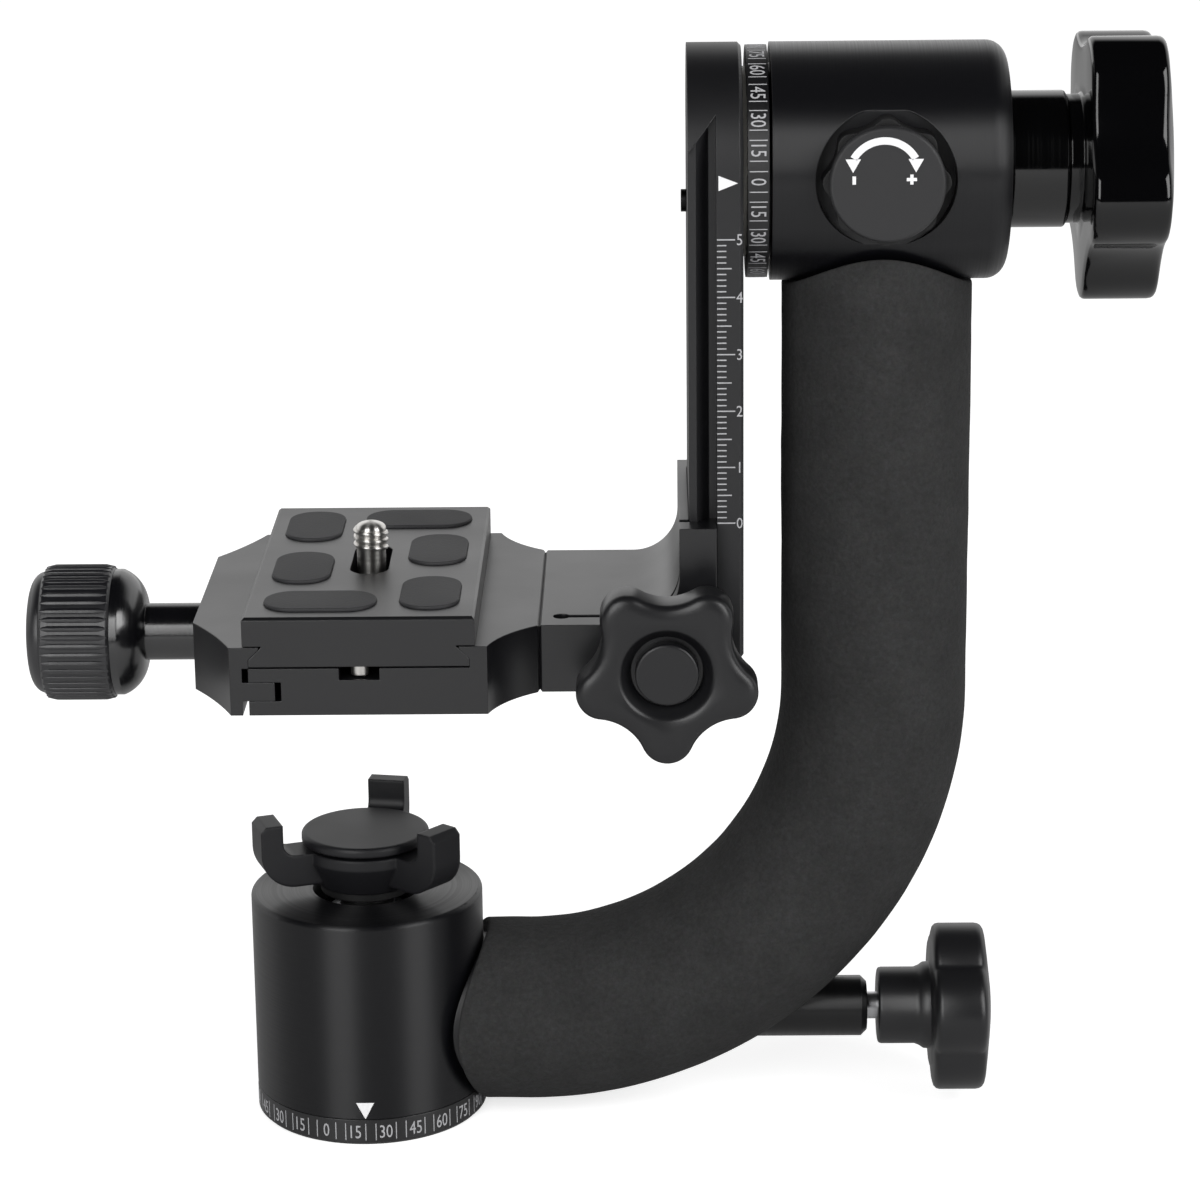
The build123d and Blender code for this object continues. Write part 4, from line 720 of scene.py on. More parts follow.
# ------------------------------------------------------------------ geometry node trees
class Grower(Graph):
    """Grows one piece by geometry nodes with named sizes, and keeps it as a plain mesh."""

    def __init__(self, name: str, place: Matrix, material: Material, **sizes: float) -> None:
        """Start a tree.

        Args:
            name: name of the piece.
            place: puts what is grown, round Z or up Z, in the head's frame, in millimetres.
            material: the piece's finish.
            sizes: named lengths in millimetres, and named counts as whole numbers.
        """
        super().__init__(bpy.data.node_groups.new(name + "_tree", "GeometryNodeTree"))
        self.name, self.place, self.material, self.sizes = name, place, material, sizes
        socket = self.tree.interface.new_socket
        for size, value in sizes.items():
            kind = "NodeSocketInt" if isinstance(value, int) else "NodeSocketFloat"
            socket(size, in_out="INPUT", socket_type=kind)
        socket("Geometry", in_out="OUTPUT", socket_type="NodeSocketGeometry")
        self.given = self.add("NodeGroupInput").outputs
        self.index = self.add("GeometryNodeInputIndex")

    def repeat(self, piece: Source, move: Source, turned_too: bool, **how: Source) -> Node:
        """Put "Count" copies of a piece at the origin, then move each of them.

        Args:
            piece: the piece.
            move: how far each copy moves.
            turned_too: a copy moves along its own turned axes.
            how: the copies' Selection, Rotation or Scale.

        Returns:
            The node that has the copies.
        """
        spots = self.add("GeometryNodeMeshLine", inputs={
            "Count": self.given["Count"], "Offset": (0, 0, 0)})
        copies = self.add("GeometryNodeInstanceOnPoints", inputs={
            "Points": spots, "Instance": piece, **how})
        return self.add("GeometryNodeTranslateInstances", inputs={
            "Instances": copies, "Translation": move, "Local Space": turned_too})

    def share_turn(self) -> Node:
        """Share a full turn round Z out among the "Count" copies.

        Returns:
            The node that has each copy's rotation.
        """
        step = self.add("ShaderNodeMath", {"operation": "DIVIDE"},
                        {0: 2 * math.pi, 1: self.given["Count"]})
        angle = self.add("ShaderNodeMath", {"operation": "MULTIPLY"}, {0: self.index, 1: step})
        return self.add("ShaderNodeCombineXYZ", inputs={"Z": angle})

    def sweep(self, path: Source, radius: Source, sides: int, scale: Source | float = 1.0) -> Node:
        """Sweep a circle along a path.

        Args:
            path: the path.
            radius: radius of the circle.
            sides: number of its corners.
            scale: how its size changes on the way.

        Returns:
            The node that has the swept bar.
        """
        circle = self.add("GeometryNodeCurvePrimitiveCircle", inputs={
            "Resolution": sides, "Radius": radius})
        return self.add("GeometryNodeCurveToMesh", inputs={
            "Curve": path, "Profile Curve": circle, "Scale": scale, "Fill Caps": True})

    def grow(self, geometry: Source) -> Object:
        """Finish the tree, run it and keep the result as a plain mesh.

        Args:
            geometry: what the tree has made, in millimetres.

        Returns:
            The new piece.
        """
        whole = self.add("GeometryNodeRealizeInstances", inputs={"Geometry": geometry})
        coated = self.add("GeometryNodeSetMaterial", inputs={
            "Geometry": whole, "Material": self.material})
        self.add("NodeGroupOutput", inputs={0: coated})
        holder = add_object(self.name + "_seed", bpy.data.meshes.new(self.name + "_seed"))
        modifier = holder.modifiers.new("grow", "NODES")
        modifier.node_group = self.tree
        for item in self.tree.interface.items_tree:
            if item.name in self.sizes:
                modifier[item.identifier] = self.sizes[item.name]
        evaluated = holder.evaluated_get(bpy.context.evaluated_depsgraph_get())
        mesh = bpy.data.meshes.new_from_object(evaluated)
        bpy.data.objects.remove(holder)
        mesh.transform(Matrix.Diagonal((MM, MM, MM, 1)) @ self.place)
        return link_piece(self.name, mesh, self.material)

    def ring_ticks(self) -> Object:
        """Grow a degree ring's ticks round Z, every 5 degrees but where a number stands.

        Returns:
            The ticks, as one piece, "Radius" from the axis.
        """
        given = self.given
        rest = self.add("ShaderNodeMath", {"operation": "MODULO"}, {0: self.index, 1: given["Gap"]})
        kept = self.add("FunctionNodeCompare", {"data_type": "INT", "operation": "NOT_EQUAL"},
                        {2: rest, 3: 0})
        size = self.add("ShaderNodeCombineXYZ", inputs={
            "X": given["Thickness"], "Y": given["Width"], "Z": given["Length"]})
        tick = self.add("GeometryNodeMeshCube", inputs={"Size": size})
        out = self.add("ShaderNodeCombineXYZ", inputs={"X": given["Radius"]})
        return self.grow(self.repeat(tick, out, True, Selection=kept, Rotation=self.share_turn()))

    def ruler_ticks(self) -> Object:
        """Grow a ruler's ticks up Z from the origin, longer at every "Middles" and "Longs".

        Returns:
            The ticks, as one piece.
        """
        given = self.given
        length = given["Short"]
        for every, longer in (("Middles", given["Middle"]), ("Longs", given["Long"])):
            rest = self.add("ShaderNodeMath", {"operation": "MODULO"},
                            {0: self.index, 1: given[every]})
            marked = self.add("ShaderNodeMath", {"operation": "LESS_THAN"}, {0: rest, 1: 0.5})
            length = self.add("GeometryNodeSwitch", {"input_type": "FLOAT"}, {
                "Switch": marked, "False": length, "True": longer})
        tick = self.add("GeometryNodeMeshCube", inputs={"Size": (1, 1, 1)})
        size = self.add("ShaderNodeCombineXYZ", inputs={
            "X": length, "Y": given["Thickness"], "Z": given["Width"]})
        half = self.add("ShaderNodeMath", {"operation": "DIVIDE"}, {0: length, 1: 2.0})
        height = self.add("ShaderNodeMath", {"operation": "MULTIPLY"},
                          {0: self.index, 1: given["Pitch"]})
        shift = self.add("ShaderNodeCombineXYZ", inputs={"X": half, "Z": height})
        return self.grow(self.repeat(tick, shift, False, Scale=size))

    def knurl(self) -> Object:
        """Grow a straight knurl round Z, its ridges thinner towards their ends.

        Returns:
            The ridges, as one piece, "Radius" from the axis.
        """
        given = self.given
        taper_start, end_share = 0.37, 0.45
        half = self.add("ShaderNodeMath", {"operation": "DIVIDE"}, {0: given["Length"], 1: 2.0})
        below = self.add("ShaderNodeMath", {"operation": "MULTIPLY"}, {0: half, 1: -1.0})
        start = self.add("ShaderNodeCombineXYZ", inputs={"Z": below})
        end = self.add("ShaderNodeCombineXYZ", inputs={"Z": half})
        line = self.add("GeometryNodeCurvePrimitiveLine", inputs={"Start": start, "End": end})
        fine = self.add("GeometryNodeResampleCurve", inputs={"Curve": line, "Count": 9})
        along = self.add("GeometryNodeSplineParameter").outputs["Factor"]
        offset = self.add("ShaderNodeMath", {"operation": "SUBTRACT"}, {0: along, 1: 0.5})
        from_middle = self.add("ShaderNodeMath", {"operation": "ABSOLUTE"}, {0: offset})
        taper = self.add("ShaderNodeMapRange", inputs={
            "Value": from_middle, "From Min": taper_start, "From Max": 0.5, "To Min": 1.0,
            "To Max": end_share})
        bar = self.sweep(fine, given["Ridge"], 8, taper)
        out = self.add("ShaderNodeCombineXYZ", inputs={"X": given["Radius"]})
        return self.grow(self.repeat(bar, out, True, Rotation=self.share_turn()))

    def thread(self) -> Object:
        """Grow a screw thread's ridge as a helix up Z.

        Returns:
            The ridge, with its middle at "Radius".
        """
        given = self.given
        rise = self.add("ShaderNodeMath", {"operation": "MULTIPLY"},
                        {0: given["Pitch"], 1: given["Turns"]})
        helix = self.add("GeometryNodeCurveSpiral", inputs={
            "Resolution": 36, "Rotations": given["Turns"], "Start Radius": given["Radius"],
            "End Radius": given["Radius"], "Height": rise})
        return self.grow(self.sweep(helix, given["Depth"], 6))


# ------------------------------------------------------------------ sub-assemblies
@dataclass
class ScaleRing:
    """A degree ring's printed numbers and ticks. Every "tick_gap" ticks a number takes one's place."""

    name: str
    radius: float
    middle: float
    zero_degrees: float
    tick_length: float
    digit_height: float
    body: str
    upright: bool
    tick_width: float = 0.17
    tick_count: int = 72
    tick_gap: int = 3
    digit_width_factor: float = 0.72
    number_step: float = 15.0

    NUMBERS = (0, 15, 30, 45, 60, 75, 90, 75, 60, 45, 30, 15)

    def place(self, across: float, up: float, out: float) -> Vector:
        """Put a flat point on the ring's face.

        Args:
            across: distance round the ring.
            up: distance along its axis from the middle of its face.
            out: distance out of its face.

        Returns:
            The point, in the head's frame.
        """
        angle, radius = across / self.radius, self.radius + out
        first, second = radius * math.cos(angle), radius * math.sin(angle)
        if self.upright:
            return Vector((first, second, self.middle + up))
        return Vector((self.middle + up, -first, TILT_AXIS - second))

    def build(self) -> None:
        """Print the numbers and ticks."""
        ink = FINE_INK.material()
        parts = []
        for step, number in enumerate(2 * self.NUMBERS):
            centre = math.radians(self.zero_degrees + self.number_step * step) * self.radius
            parts.append(numeral(
                str(number), self.digit_height, self.digit_width_factor,
                lambda across, up, out, centre=centre: self.place(centre + across, up, out)))
        numbers = make_piece(self.name + "_numbers", join_parts(parts), ink)
        place = Matrix.Translation((0, 0, self.middle))
        if not self.upright:
            onto_x = Matrix(((0, 0, 1), (-1, 0, 0), (0, -1, 0))).to_4x4()
            place = Matrix.Translation((self.middle, 0, TILT_AXIS)) @ onto_x
        place = place @ Matrix.Rotation(math.radians(self.zero_degrees), 4, "Z")
        ticks = Grower(self.name + "_ticks", place, ink, Radius=self.radius, Length=self.tick_length,
                       Width=self.tick_width, Thickness=2 * INK_HEIGHT, Count=self.tick_count,
                       Gap=self.tick_gap).ring_ticks()
        for piece in (numbers, ticks):
            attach(piece, self.body)


@dataclass
class PanBase:
    """The panning base: its housing, scale ring, pointer and bearings."""

    housing_radius: float = 21.3
    ring_middle: float = 2.65
    pointer_left: float = -1.45
    pointer_right: float = 1.83
    pointer_top: float = 8.4
    pointer_tip: float = 5.24

    def build(self) -> None:
        """Dress the base and print its marks."""
        PAN_BODY.dress("base_plate", "pan_housing")
        PAN_TURNED.dress("pan_scale_ring")
        STEEL.dress("tripod_bush", "pan_spindle", "pan_inner_races", "outer_races", "bearing_balls")
        BLACK_STEEL.dress("spindle_screws", "pan_bearing_nut", "circlips")
        BODY.dress("pan_bearing_spacer", "tilt_bearing_spacer")
        ScaleRing("pan_scale", self.housing_radius, self.ring_middle, -109.5, 3.3, 2.5, "base",
                  True).build()
        self.print_pointer()

    def place(self, across: float, up: float, out: float) -> Vector:
        """Put a flat point on the housing's front."""
        angle, radius = across / self.housing_radius - math.pi / 2, self.housing_radius + out
        return Vector((radius * math.cos(angle), radius * math.sin(angle), up))

    def print_pointer(self, steps: int = 12) -> None:
        """Print the white triangle above the ring, bent round the housing.

        Args:
            steps: columns that the triangle is bent in.
        """
        base, edge = [], []
        for i in range(steps + 1):
            across = self.pointer_left + (self.pointer_right - self.pointer_left) * i / steps
            fall = (self.pointer_top - self.pointer_tip) * (1 - abs(2 * i / steps - 1))
            base.append((across, self.pointer_top))
            edge.append((across, self.pointer_top - fall))
        pointer = make_piece("pan_pointer", ribbon(base, edge, self.place), INK.material())
        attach(pointer, "side_arm")


@dataclass
class TensionNut:
    """The claw nut that sets the panning drag."""

    def build(self) -> None:
        """Dress the nut, its cap and its washer."""
        CLAW.dress("tension_nut", "tension_nut_cap")
        MATT_PLASTIC.dress("tension_washer")


@dataclass
class SideArm:
    """The bent tube and its foam sleeve.

    The foam swells unevenly, by a coarse noise and half of a finer one. Their scales are in waves
    per millimetre.
    """

    outer: float = 16.8
    inner: float = 14.02
    leg_height: float = PAN_LOCK_AXIS
    bend_start: float = 30.0
    bend_radius: float = 63.0
    reach: float = 93.0
    base_saddle: float = 29.0
    base_saddle_x: float = -6.9
    top_saddle: float = 23.2
    top_saddle_z: float = 179.1
    lip: float = 0.8
    swell: float = 0.12
    swell_scales: Flat = (0.07, 0.21)
    swell_level: float = 0.6
    around: int = 112
    leg_steps: int = 12
    bend_steps: int = 64
    upright_steps: int = 60
    bore_steps: int = 40

    def build(self) -> None:
        """Dress the tube and make the sleeve."""
        BODY.dress("arm_tube")
        BLACK_STEEL.dress("tube_screws")
        sleeve = make_piece("foam_sleeve_skin", self.sleeve(), FOAM.material(), 60)
        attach(sleeve, "side_arm")
        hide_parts("foam_sleeve")

    def point(self, share: float, angle: float, radius: float, drawn_in: float) -> Vector:
        """Find a point on the sleeve.

        Args:
            share: place along the sleeve, 0 to 1 on the lower leg, to 2 on the bend, to 3 up.
            angle: place round the tube, 0 on the outside of the bend.
            radius: distance from the tube's centre line.
            drawn_in: how far an end is drawn back from the saddle cut.

        Returns:
            The point, in millimetres.
        """
        out, side = radius * math.cos(angle), radius * math.sin(angle)
        bend_height = self.leg_height + self.bend_radius
        if share <= 1:
            start = self.base_saddle_x + math.sqrt(self.base_saddle**2 - side**2) + drawn_in
            return Vector((start + (self.bend_start - start) * share, side, self.leg_height - out))
        if share <= 2:
            turned, reach = (share - 1) * math.pi / 2, self.bend_radius + out
            return Vector((self.bend_start + reach * math.sin(turned), side,
                           bend_height - reach * math.cos(turned)))
        end = self.top_saddle_z - math.sqrt(self.top_saddle**2 - side**2) - drawn_in
        return Vector((self.reach + out, side, bend_height + (end - bend_height) * (share - 2)))

    def ring(self, share: float, radius: float, drawn_in: float = 0.0, rough: float = 0.0
             ) -> list[Vector]:
        """Walk round the sleeve once.

        Args:
            share: place along the sleeve.
            radius: distance from the centre line.
            drawn_in: how far an end is drawn back from its cut.
            rough: height of the foam's uneven swell.

        Returns:
            Points of one ring.
        """
        found = []
        for i in range(self.around):
            angle = 2 * math.pi * i / self.around
            plain = self.point(share, angle, radius, drawn_in)
            coarse, fine = (noise.noise(plain * scale) for scale in self.swell_scales)
            swell = coarse + 0.5 * fine - self.swell_level
            found.append(self.point(share, angle, radius + rough * swell, drawn_in))
        return found

    def rolled_lip(self, share: float, steps: int = 5) -> list[list[Vector]]:
        """Roll the skin over at one end, from the outside to the cut.

        Args:
            share: place of the end along the sleeve.
            steps: number of rings.

        Returns:
            The rings.
        """
        rings = []
        for i in range(1, steps + 1):
            up, back = math.sin(math.pi / 2 * i / steps), 1 - math.cos(math.pi / 2 * i / steps)
            rings.append(self.ring(share, self.outer - self.lip * back, self.lip * (1 - up),
                                   self.swell * (1 - back)))
        return rings

    def sleeve(self) -> Surface:
        """Lay the sleeve's skin: outside, rolled lips and bore, joined in a loop.

        Returns:
            Points and faces.
        """
        shares = [0.0]
        for done, steps in enumerate((self.leg_steps, self.bend_steps, self.upright_steps)):
            shares += [done + i / steps for i in range(1, steps + 1)]
        outside = [self.ring(share, self.outer, self.lip, self.swell) for share in shares]
        bore = [self.ring(3.0 - 3.0 * i / self.bore_steps, self.inner)
                for i in range(self.bore_steps + 1)]
        return skin(outside + self.rolled_lip(3.0) + bore + self.rolled_lip(0.0)[::-1], True)


@dataclass
class PanLock:
    """The sleeve, screw and five-lobed knob that lock the panning."""

    seat: Seat = Seat(Facing.SIDE, (0.0, PAN_LOCK_AXIS))
    outline: LobedOutline = LobedOutline(15.7, 13.75, 9.2, 163.5)
    hub_start: float = 94.3
    hub_end: float = 101.7
    hub_radius: float = 7.1
    neck_radius: float = 8.0
    head_start: float = 104.1
    head_end: float = 115.2
    cap_radius: float = 5.4

    def build(self) -> None:
        """Dress the sleeve and make the knob."""
        LOCK_SLEEVE_PAINTED_SHADE.dress("pan_lock_sleeve")
        STEEL.dress("pan_lock_screw")
        BRASS.dress("pan_lock_pad")
        knob = make_piece("pan_lock_hand_knob", self.knob(), SATIN_PLASTIC.material(), 32)
        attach(knob, "pan_lock_knob")
        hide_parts("pan_lock_knob", "pan_lock_cap")

    def knob(self) -> Surface:
        """Mould the knob: hub, flared neck, lobed head with a domed face.

        Returns:
            Points and faces.
        """
        hub, neck, start, end = self.hub_radius, self.neck_radius, self.head_start, self.head_end
        return mould(self.outline, self.seat, [
            *circles(self.hub_start, (0.0, hub - 0.8), (0.08, hub - 0.4), (0.3, hub - 0.12), (0.75, hub)),
            *circles(self.hub_end, (-0.6, hub), (0.3, hub + 0.35), (1.1, neck)),
            *circles(start, (-0.25, neck + 0.1), (-0.05, neck + 0.5)),
            *outlines(start, (0.1, 3.0), (0.2, 1.5), (0.45, 0.6), (0.9, 0.15), (1.5, 0.0)),
            *outlines(end, (-3.0, 0.0), (-2.3, 0.12), (-1.8, 0.42), (-1.45, 0.95), (-1.25, 1.7)),
            *blends(end, 3.0, (-0.85, 9.5, 0.5), (-0.5, 8.0, 1.0), (-0.3, 6.4, 1.0)),
            *cap_seam(end - 0.24, self.cap_radius),
            *circles(end, (-0.05, 3.0), (0.0, 1.0))])


@dataclass
class TiltHub:
    """The tilt bearing's housing, its scale ring and the drag knob in its side.

    Each bar of the printed minus and plus is (across, up, half its width, half its height).
    """

    ring_radius: float = 20.2
    ring_middle: float = 71.65
    cap_x: float = 93.3
    cap_face: float = -24.0
    arrow_rise: float = 1.5
    arrow_shift: float = -0.6
    arrow_radius: float = 6.0
    arrow_band: float = 0.62
    head_out: float = 5.3
    head_half_width: float = 1.3
    head_top: float = 2.9
    head_tip: float = 0.6
    arrow_start: float = 150.0
    arrow_sweep: float = 120.0
    arrow_steps: int = 24
    minus: tuple[Bar, ...] = ((-5.1, -0.7, 0.3, 0.7),)
    plus: tuple[Bar, ...] = (
        (4.6, -0.6, 0.28, 0.85), (4.03, -0.6, 0.29, 0.28), (5.17, -0.6, 0.29, 0.28))

    def build(self) -> None:
        """Dress the hub and print its marks."""
        TILT_BODY.dress("tilt_housing")
        TILT_TURNED.dress("tilt_scale_ring")
        DRAG_CAP.dress("friction_cap")
        MATT_PLASTIC.dress("friction_knob")
        STEEL.dress("friction_springs", "friction_screw", "tilt_shaft", "tilt_inner_races")
        BRASS.dress("friction_pad")
        ACETAL.dress("tilt_thrust_washer")
        BLACK_STEEL.dress("tilt_bearing_nut", "swing_arm_screws")
        ScaleRing("tilt_scale", self.ring_radius, self.ring_middle, 0.0, 3.1, 2.6, "side_arm",
                  False).build()
        self.print_arrow()

    def place(self, across: float, up: float, out: float) -> Vector:
        """Put a flat point on the drag knob's cap."""
        return Vector((self.cap_x + self.arrow_shift + across, self.cap_face - out,
                       TILT_AXIS + self.arrow_rise + up))

    def print_arrow(self) -> None:
        """Print the double arrow, its minus at the left and its plus at the right."""
        angles = [math.radians(self.arrow_start - self.arrow_sweep * i / self.arrow_steps)
                  for i in range(self.arrow_steps + 1)]
        shaft = [[(radius * math.cos(a), radius * math.sin(a)) for a in angles]
                 for radius in (self.arrow_radius - self.arrow_band, self.arrow_radius + self.arrow_band)]
        parts = [ribbon(*shaft, self.place)]
        for x in (-self.head_out, self.head_out):
            sides = [[(x + wide, self.head_top), (x, self.head_tip)]
                     for wide in (-self.head_half_width, self.head_half_width)]
            parts.append(ribbon(*sides, self.place))
        for x, z, wide, high in self.minus + self.plus:
            sides = [[(x + side * wide, z - high), (x + side * wide, z + high)] for side in (-1, 1)]
            parts.append(ribbon(*sides, self.place))
        marks = make_piece("friction_arrow", join_parts(parts), INK.material())
        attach(marks, "friction_knob")


@dataclass
class SwingArm:
    """The swinging arm with its rail, ruler and pointer.

    Every "middles" ticks one is longer, and every "longs" ticks one is the longest and has a number.
    """

    face: float = -20.7
    ruler_left: float = 64.5
    ruler_zero: float = 117.1
    ruler_pitch: float = 1.0
    tick_count: int = 51
    middles: int = 5
    longs: int = 10
    short_length: float = 1.6
    middle_length: float = 2.5
    long_length: float = 3.1
    tick_width: float = 0.22
    number_count: int = 6
    digit_x: float = 68.35
    digit_height: float = 1.9
    digit_width_factor: float = 0.85
    pointer_base: float = 64.8
    pointer_tip: float = 68.1
    pointer_low: float = 175.5
    pointer_high: float = 178.1

    def build(self) -> None:
        """Dress the arm and print its marks."""
        BODY.dress("swing_arm")
        BLACK_STEEL.dress("rail_stop_screws")
        place = Matrix.Translation((self.ruler_left, self.face, self.ruler_zero))
        ticks = Grower("ruler_ticks", place, FINE_INK.material(), Pitch=self.ruler_pitch,
                       Short=self.short_length, Middle=self.middle_length, Long=self.long_length,
                       Width=self.tick_width, Thickness=2 * INK_HEIGHT, Count=self.tick_count,
                       Middles=self.middles, Longs=self.longs).ruler_ticks()
        parts = []
        for count in range(self.number_count):
            middle = self.ruler_zero + self.longs * self.ruler_pitch * count
            parts.append(numeral(
                str(count), self.digit_height, self.digit_width_factor,
                lambda across, up, out, middle=middle: self.place(self.digit_x + across, middle + up, out)))
        numbers = make_piece("ruler_numbers", join_parts(parts), FINE_INK.material())
        tip = (self.pointer_tip, (self.pointer_low + self.pointer_high) / 2)
        sides = [[(self.pointer_base, end), tip] for end in (self.pointer_low, self.pointer_high)]
        pointer = make_piece("tilt_pointer", ribbon(*sides, self.place), INK.material())
        for piece in (ticks, numbers, pointer):
            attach(piece, "swing_arm")

    def place(self, across: float, up: float, out: float) -> Vector:
        """Put a flat point on the arm's front face."""
        return Vector((across, self.face - out, up))


@dataclass
class TiltLock:
    """The large five-lobed knob that locks the tilt, with its collar and washer."""

    seat: Seat = Seat(Facing.SIDE, (0.0, TILT_AXIS))
    outline: LobedOutline = LobedOutline(24.6, 19.9, 8.8, 48.6)
    neck_start: float = 125.4
    neck_radius: float = 11.2
    head_start: float = 128.1
    head_end: float = 143.7
    cap_radius: float = 8.4

    def build(self) -> None:
        """Dress the collar and make the knob."""
        STEEL.dress("tilt_lock_washer", "tilt_lock_stud")
        COLLAR.dress("tilt_lock_collar")
        knob = make_piece("tilt_lock_hand_knob", self.knob(), GLOSS_PLASTIC.material(), 32)
        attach(knob, "tilt_lock_knob")
        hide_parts("tilt_lock_knob", "tilt_lock_cap")

    def knob(self) -> Surface:
        """Mould the knob: neck, then a lobed head with a shallow domed face.

        Returns:
            Points and faces.
        """
        neck, start, end = self.neck_radius, self.head_start, self.head_end
        return mould(self.outline, self.seat, [
            *circles(self.neck_start, (0.05, neck - 0.2), (0.25, neck)),
            *circles(start, (-0.3, neck), (-0.05, neck + 0.4)),
            *blends(start, 6.0, (0.0, neck + 1.5, 0.6)),
            *outlines(start, (0.05, 2.0), (0.15, 0.9), (0.35, 0.35), (0.7, 0.08), (1.1, 0.0)),
            *outlines(end, (-3.8, 0.0), (-3.1, 0.1), (-2.65, 0.35), (-2.35, 0.8), (-2.2, 1.4)),
            *blends(end, 4.0, (-1.5, 16.0, 0.4), (-0.95, 12.8, 0.8), (-0.55, 9.8, 1.0)),
            *cap_seam(end - 0.46, self.cap_radius),
            *circles(end, (-0.18, 5.6), (-0.02, 2.0))])


@dataclass
class PlatformParts:
    """The platform bracket that slides on the rail, with its star knob."""

    seat: Seat = Seat(Facing.FRONT, (55.5, 94.7))
    outline: LobedOutline = LobedOutline(16.3, 12.2, 4.6, 270.0)
    collar_back: float = -25.0
    collar_radius: float = 7.0
    back: float = -29.5
    well_radius: float = 6.3
    well_floor: float = -34.8

    def build(self) -> None:
        """Dress the bracket and make the star knob."""
        BODY_FINE.dress("platform_bracket", "clamp_body")
        BLACK_STEEL.dress("bracket_screws")
        STEEL.dress("platform_lock_washer", "platform_lock_screw")
        SATIN_PLASTIC.dress("platform_lock_cap")
        knob = make_piece("platform_star_knob", self.knob(), SATIN_PLASTIC.material(), 32)
        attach(knob, "platform_lock_knob")
        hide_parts("platform_lock_knob")

    def knob(self) -> Surface:
        """Mould the star: collar, soft lobes, a funnel and the well for its cap.

        Returns:
            Points and faces.
        """
        collar = self.collar_radius
        return mould(self.outline, self.seat, [
            *circles(self.collar_back, (0.0, collar - 0.4), (-0.2, collar)),
            *circles(self.back, (0.4, collar), (0.0, collar + 0.4)),
            *outlines(self.back, (-0.02, 3.0), (-0.1, 1.4), (-0.35, 0.6), (-0.8, 0.15), (-1.4, 0.0),
                      (-6.6, 0.0), (-7.25, 0.12), (-7.75, 0.42), (-8.1, 0.95), (-8.32, 1.7),
                      (-8.42, 2.5)),
            *blends(self.back, 3.0, (-8.38, 9.2, 0.5), (-8.25, 8.5, 1.0), (-8.0, 8.05, 1.0),
                    (-7.5, 7.7, 1.0), (-6.8, 7.25, 1.0), (-6.2, 6.75, 1.0), (-5.7, 6.3, 1.0)),
            *circles(self.well_floor, (0.0, self.well_radius), (0.0, 1.0))])


@dataclass
class PlateClamp:
    """The clamp's jaw, screw and knurled knob."""

    seat: Seat = Seat(Facing.SIDE, (0.0, CLAMP_AXIS))
    grip_radius: float = 12.3
    grip_left: float = -56.55
    grip_right: float = -43.95
    dome_left: float = -59.75
    root_depth: float = 0.36
    ridge: float = 0.68
    ridge_margin: float = 0.25
    ridge_count: int = 46

    def build(self) -> None:
        """Dress the jaw and make the knob."""
        BODY_FINE.dress("clamp_jaw")
        SHAFT.dress("clamp_knob_collar")
        STEEL.dress("clamp_screw")
        barrel = make_piece("clamp_knob_barrel", self.barrel(), GRIP.material(), 30)
        middle = (self.grip_left + self.grip_right) / 2
        place = Matrix.Translation((middle, 0, CLAMP_AXIS)) @ Matrix.Rotation(math.pi / 2, 4, "Y")
        ridges = Grower("clamp_knob_knurl", place, GRIP.material(),
                        Radius=self.grip_radius - self.ridge, Ridge=self.ridge,
                        Length=self.grip_right - self.grip_left - 2 * self.ridge_margin,
                        Count=self.ridge_count).knurl()
        for piece in (barrel, ridges):
            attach(piece, "clamp_knob")
        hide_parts("clamp_knob")

    def barrel(self) -> Surface:
        """Turn the knob's barrel and its domed outer end.

        Returns:
            Points and faces.
        """
        left, right, dome = self.grip_left, self.grip_right, self.dome_left
        root = self.grip_radius - self.root_depth
        return turn([(right, 5.0), (right, root - 0.6), (right - 0.5, root), (left + 0.5, root),
                     (left, root - 0.6), (left - 0.02, root - 0.75),
                     *quarter((left - 0.1, 11.0), (dome + 0.5, 7.2), 8),
                     (dome + 0.2, 5.0), (dome + 0.05, 2.5), (dome, 0.4)], self.seat)


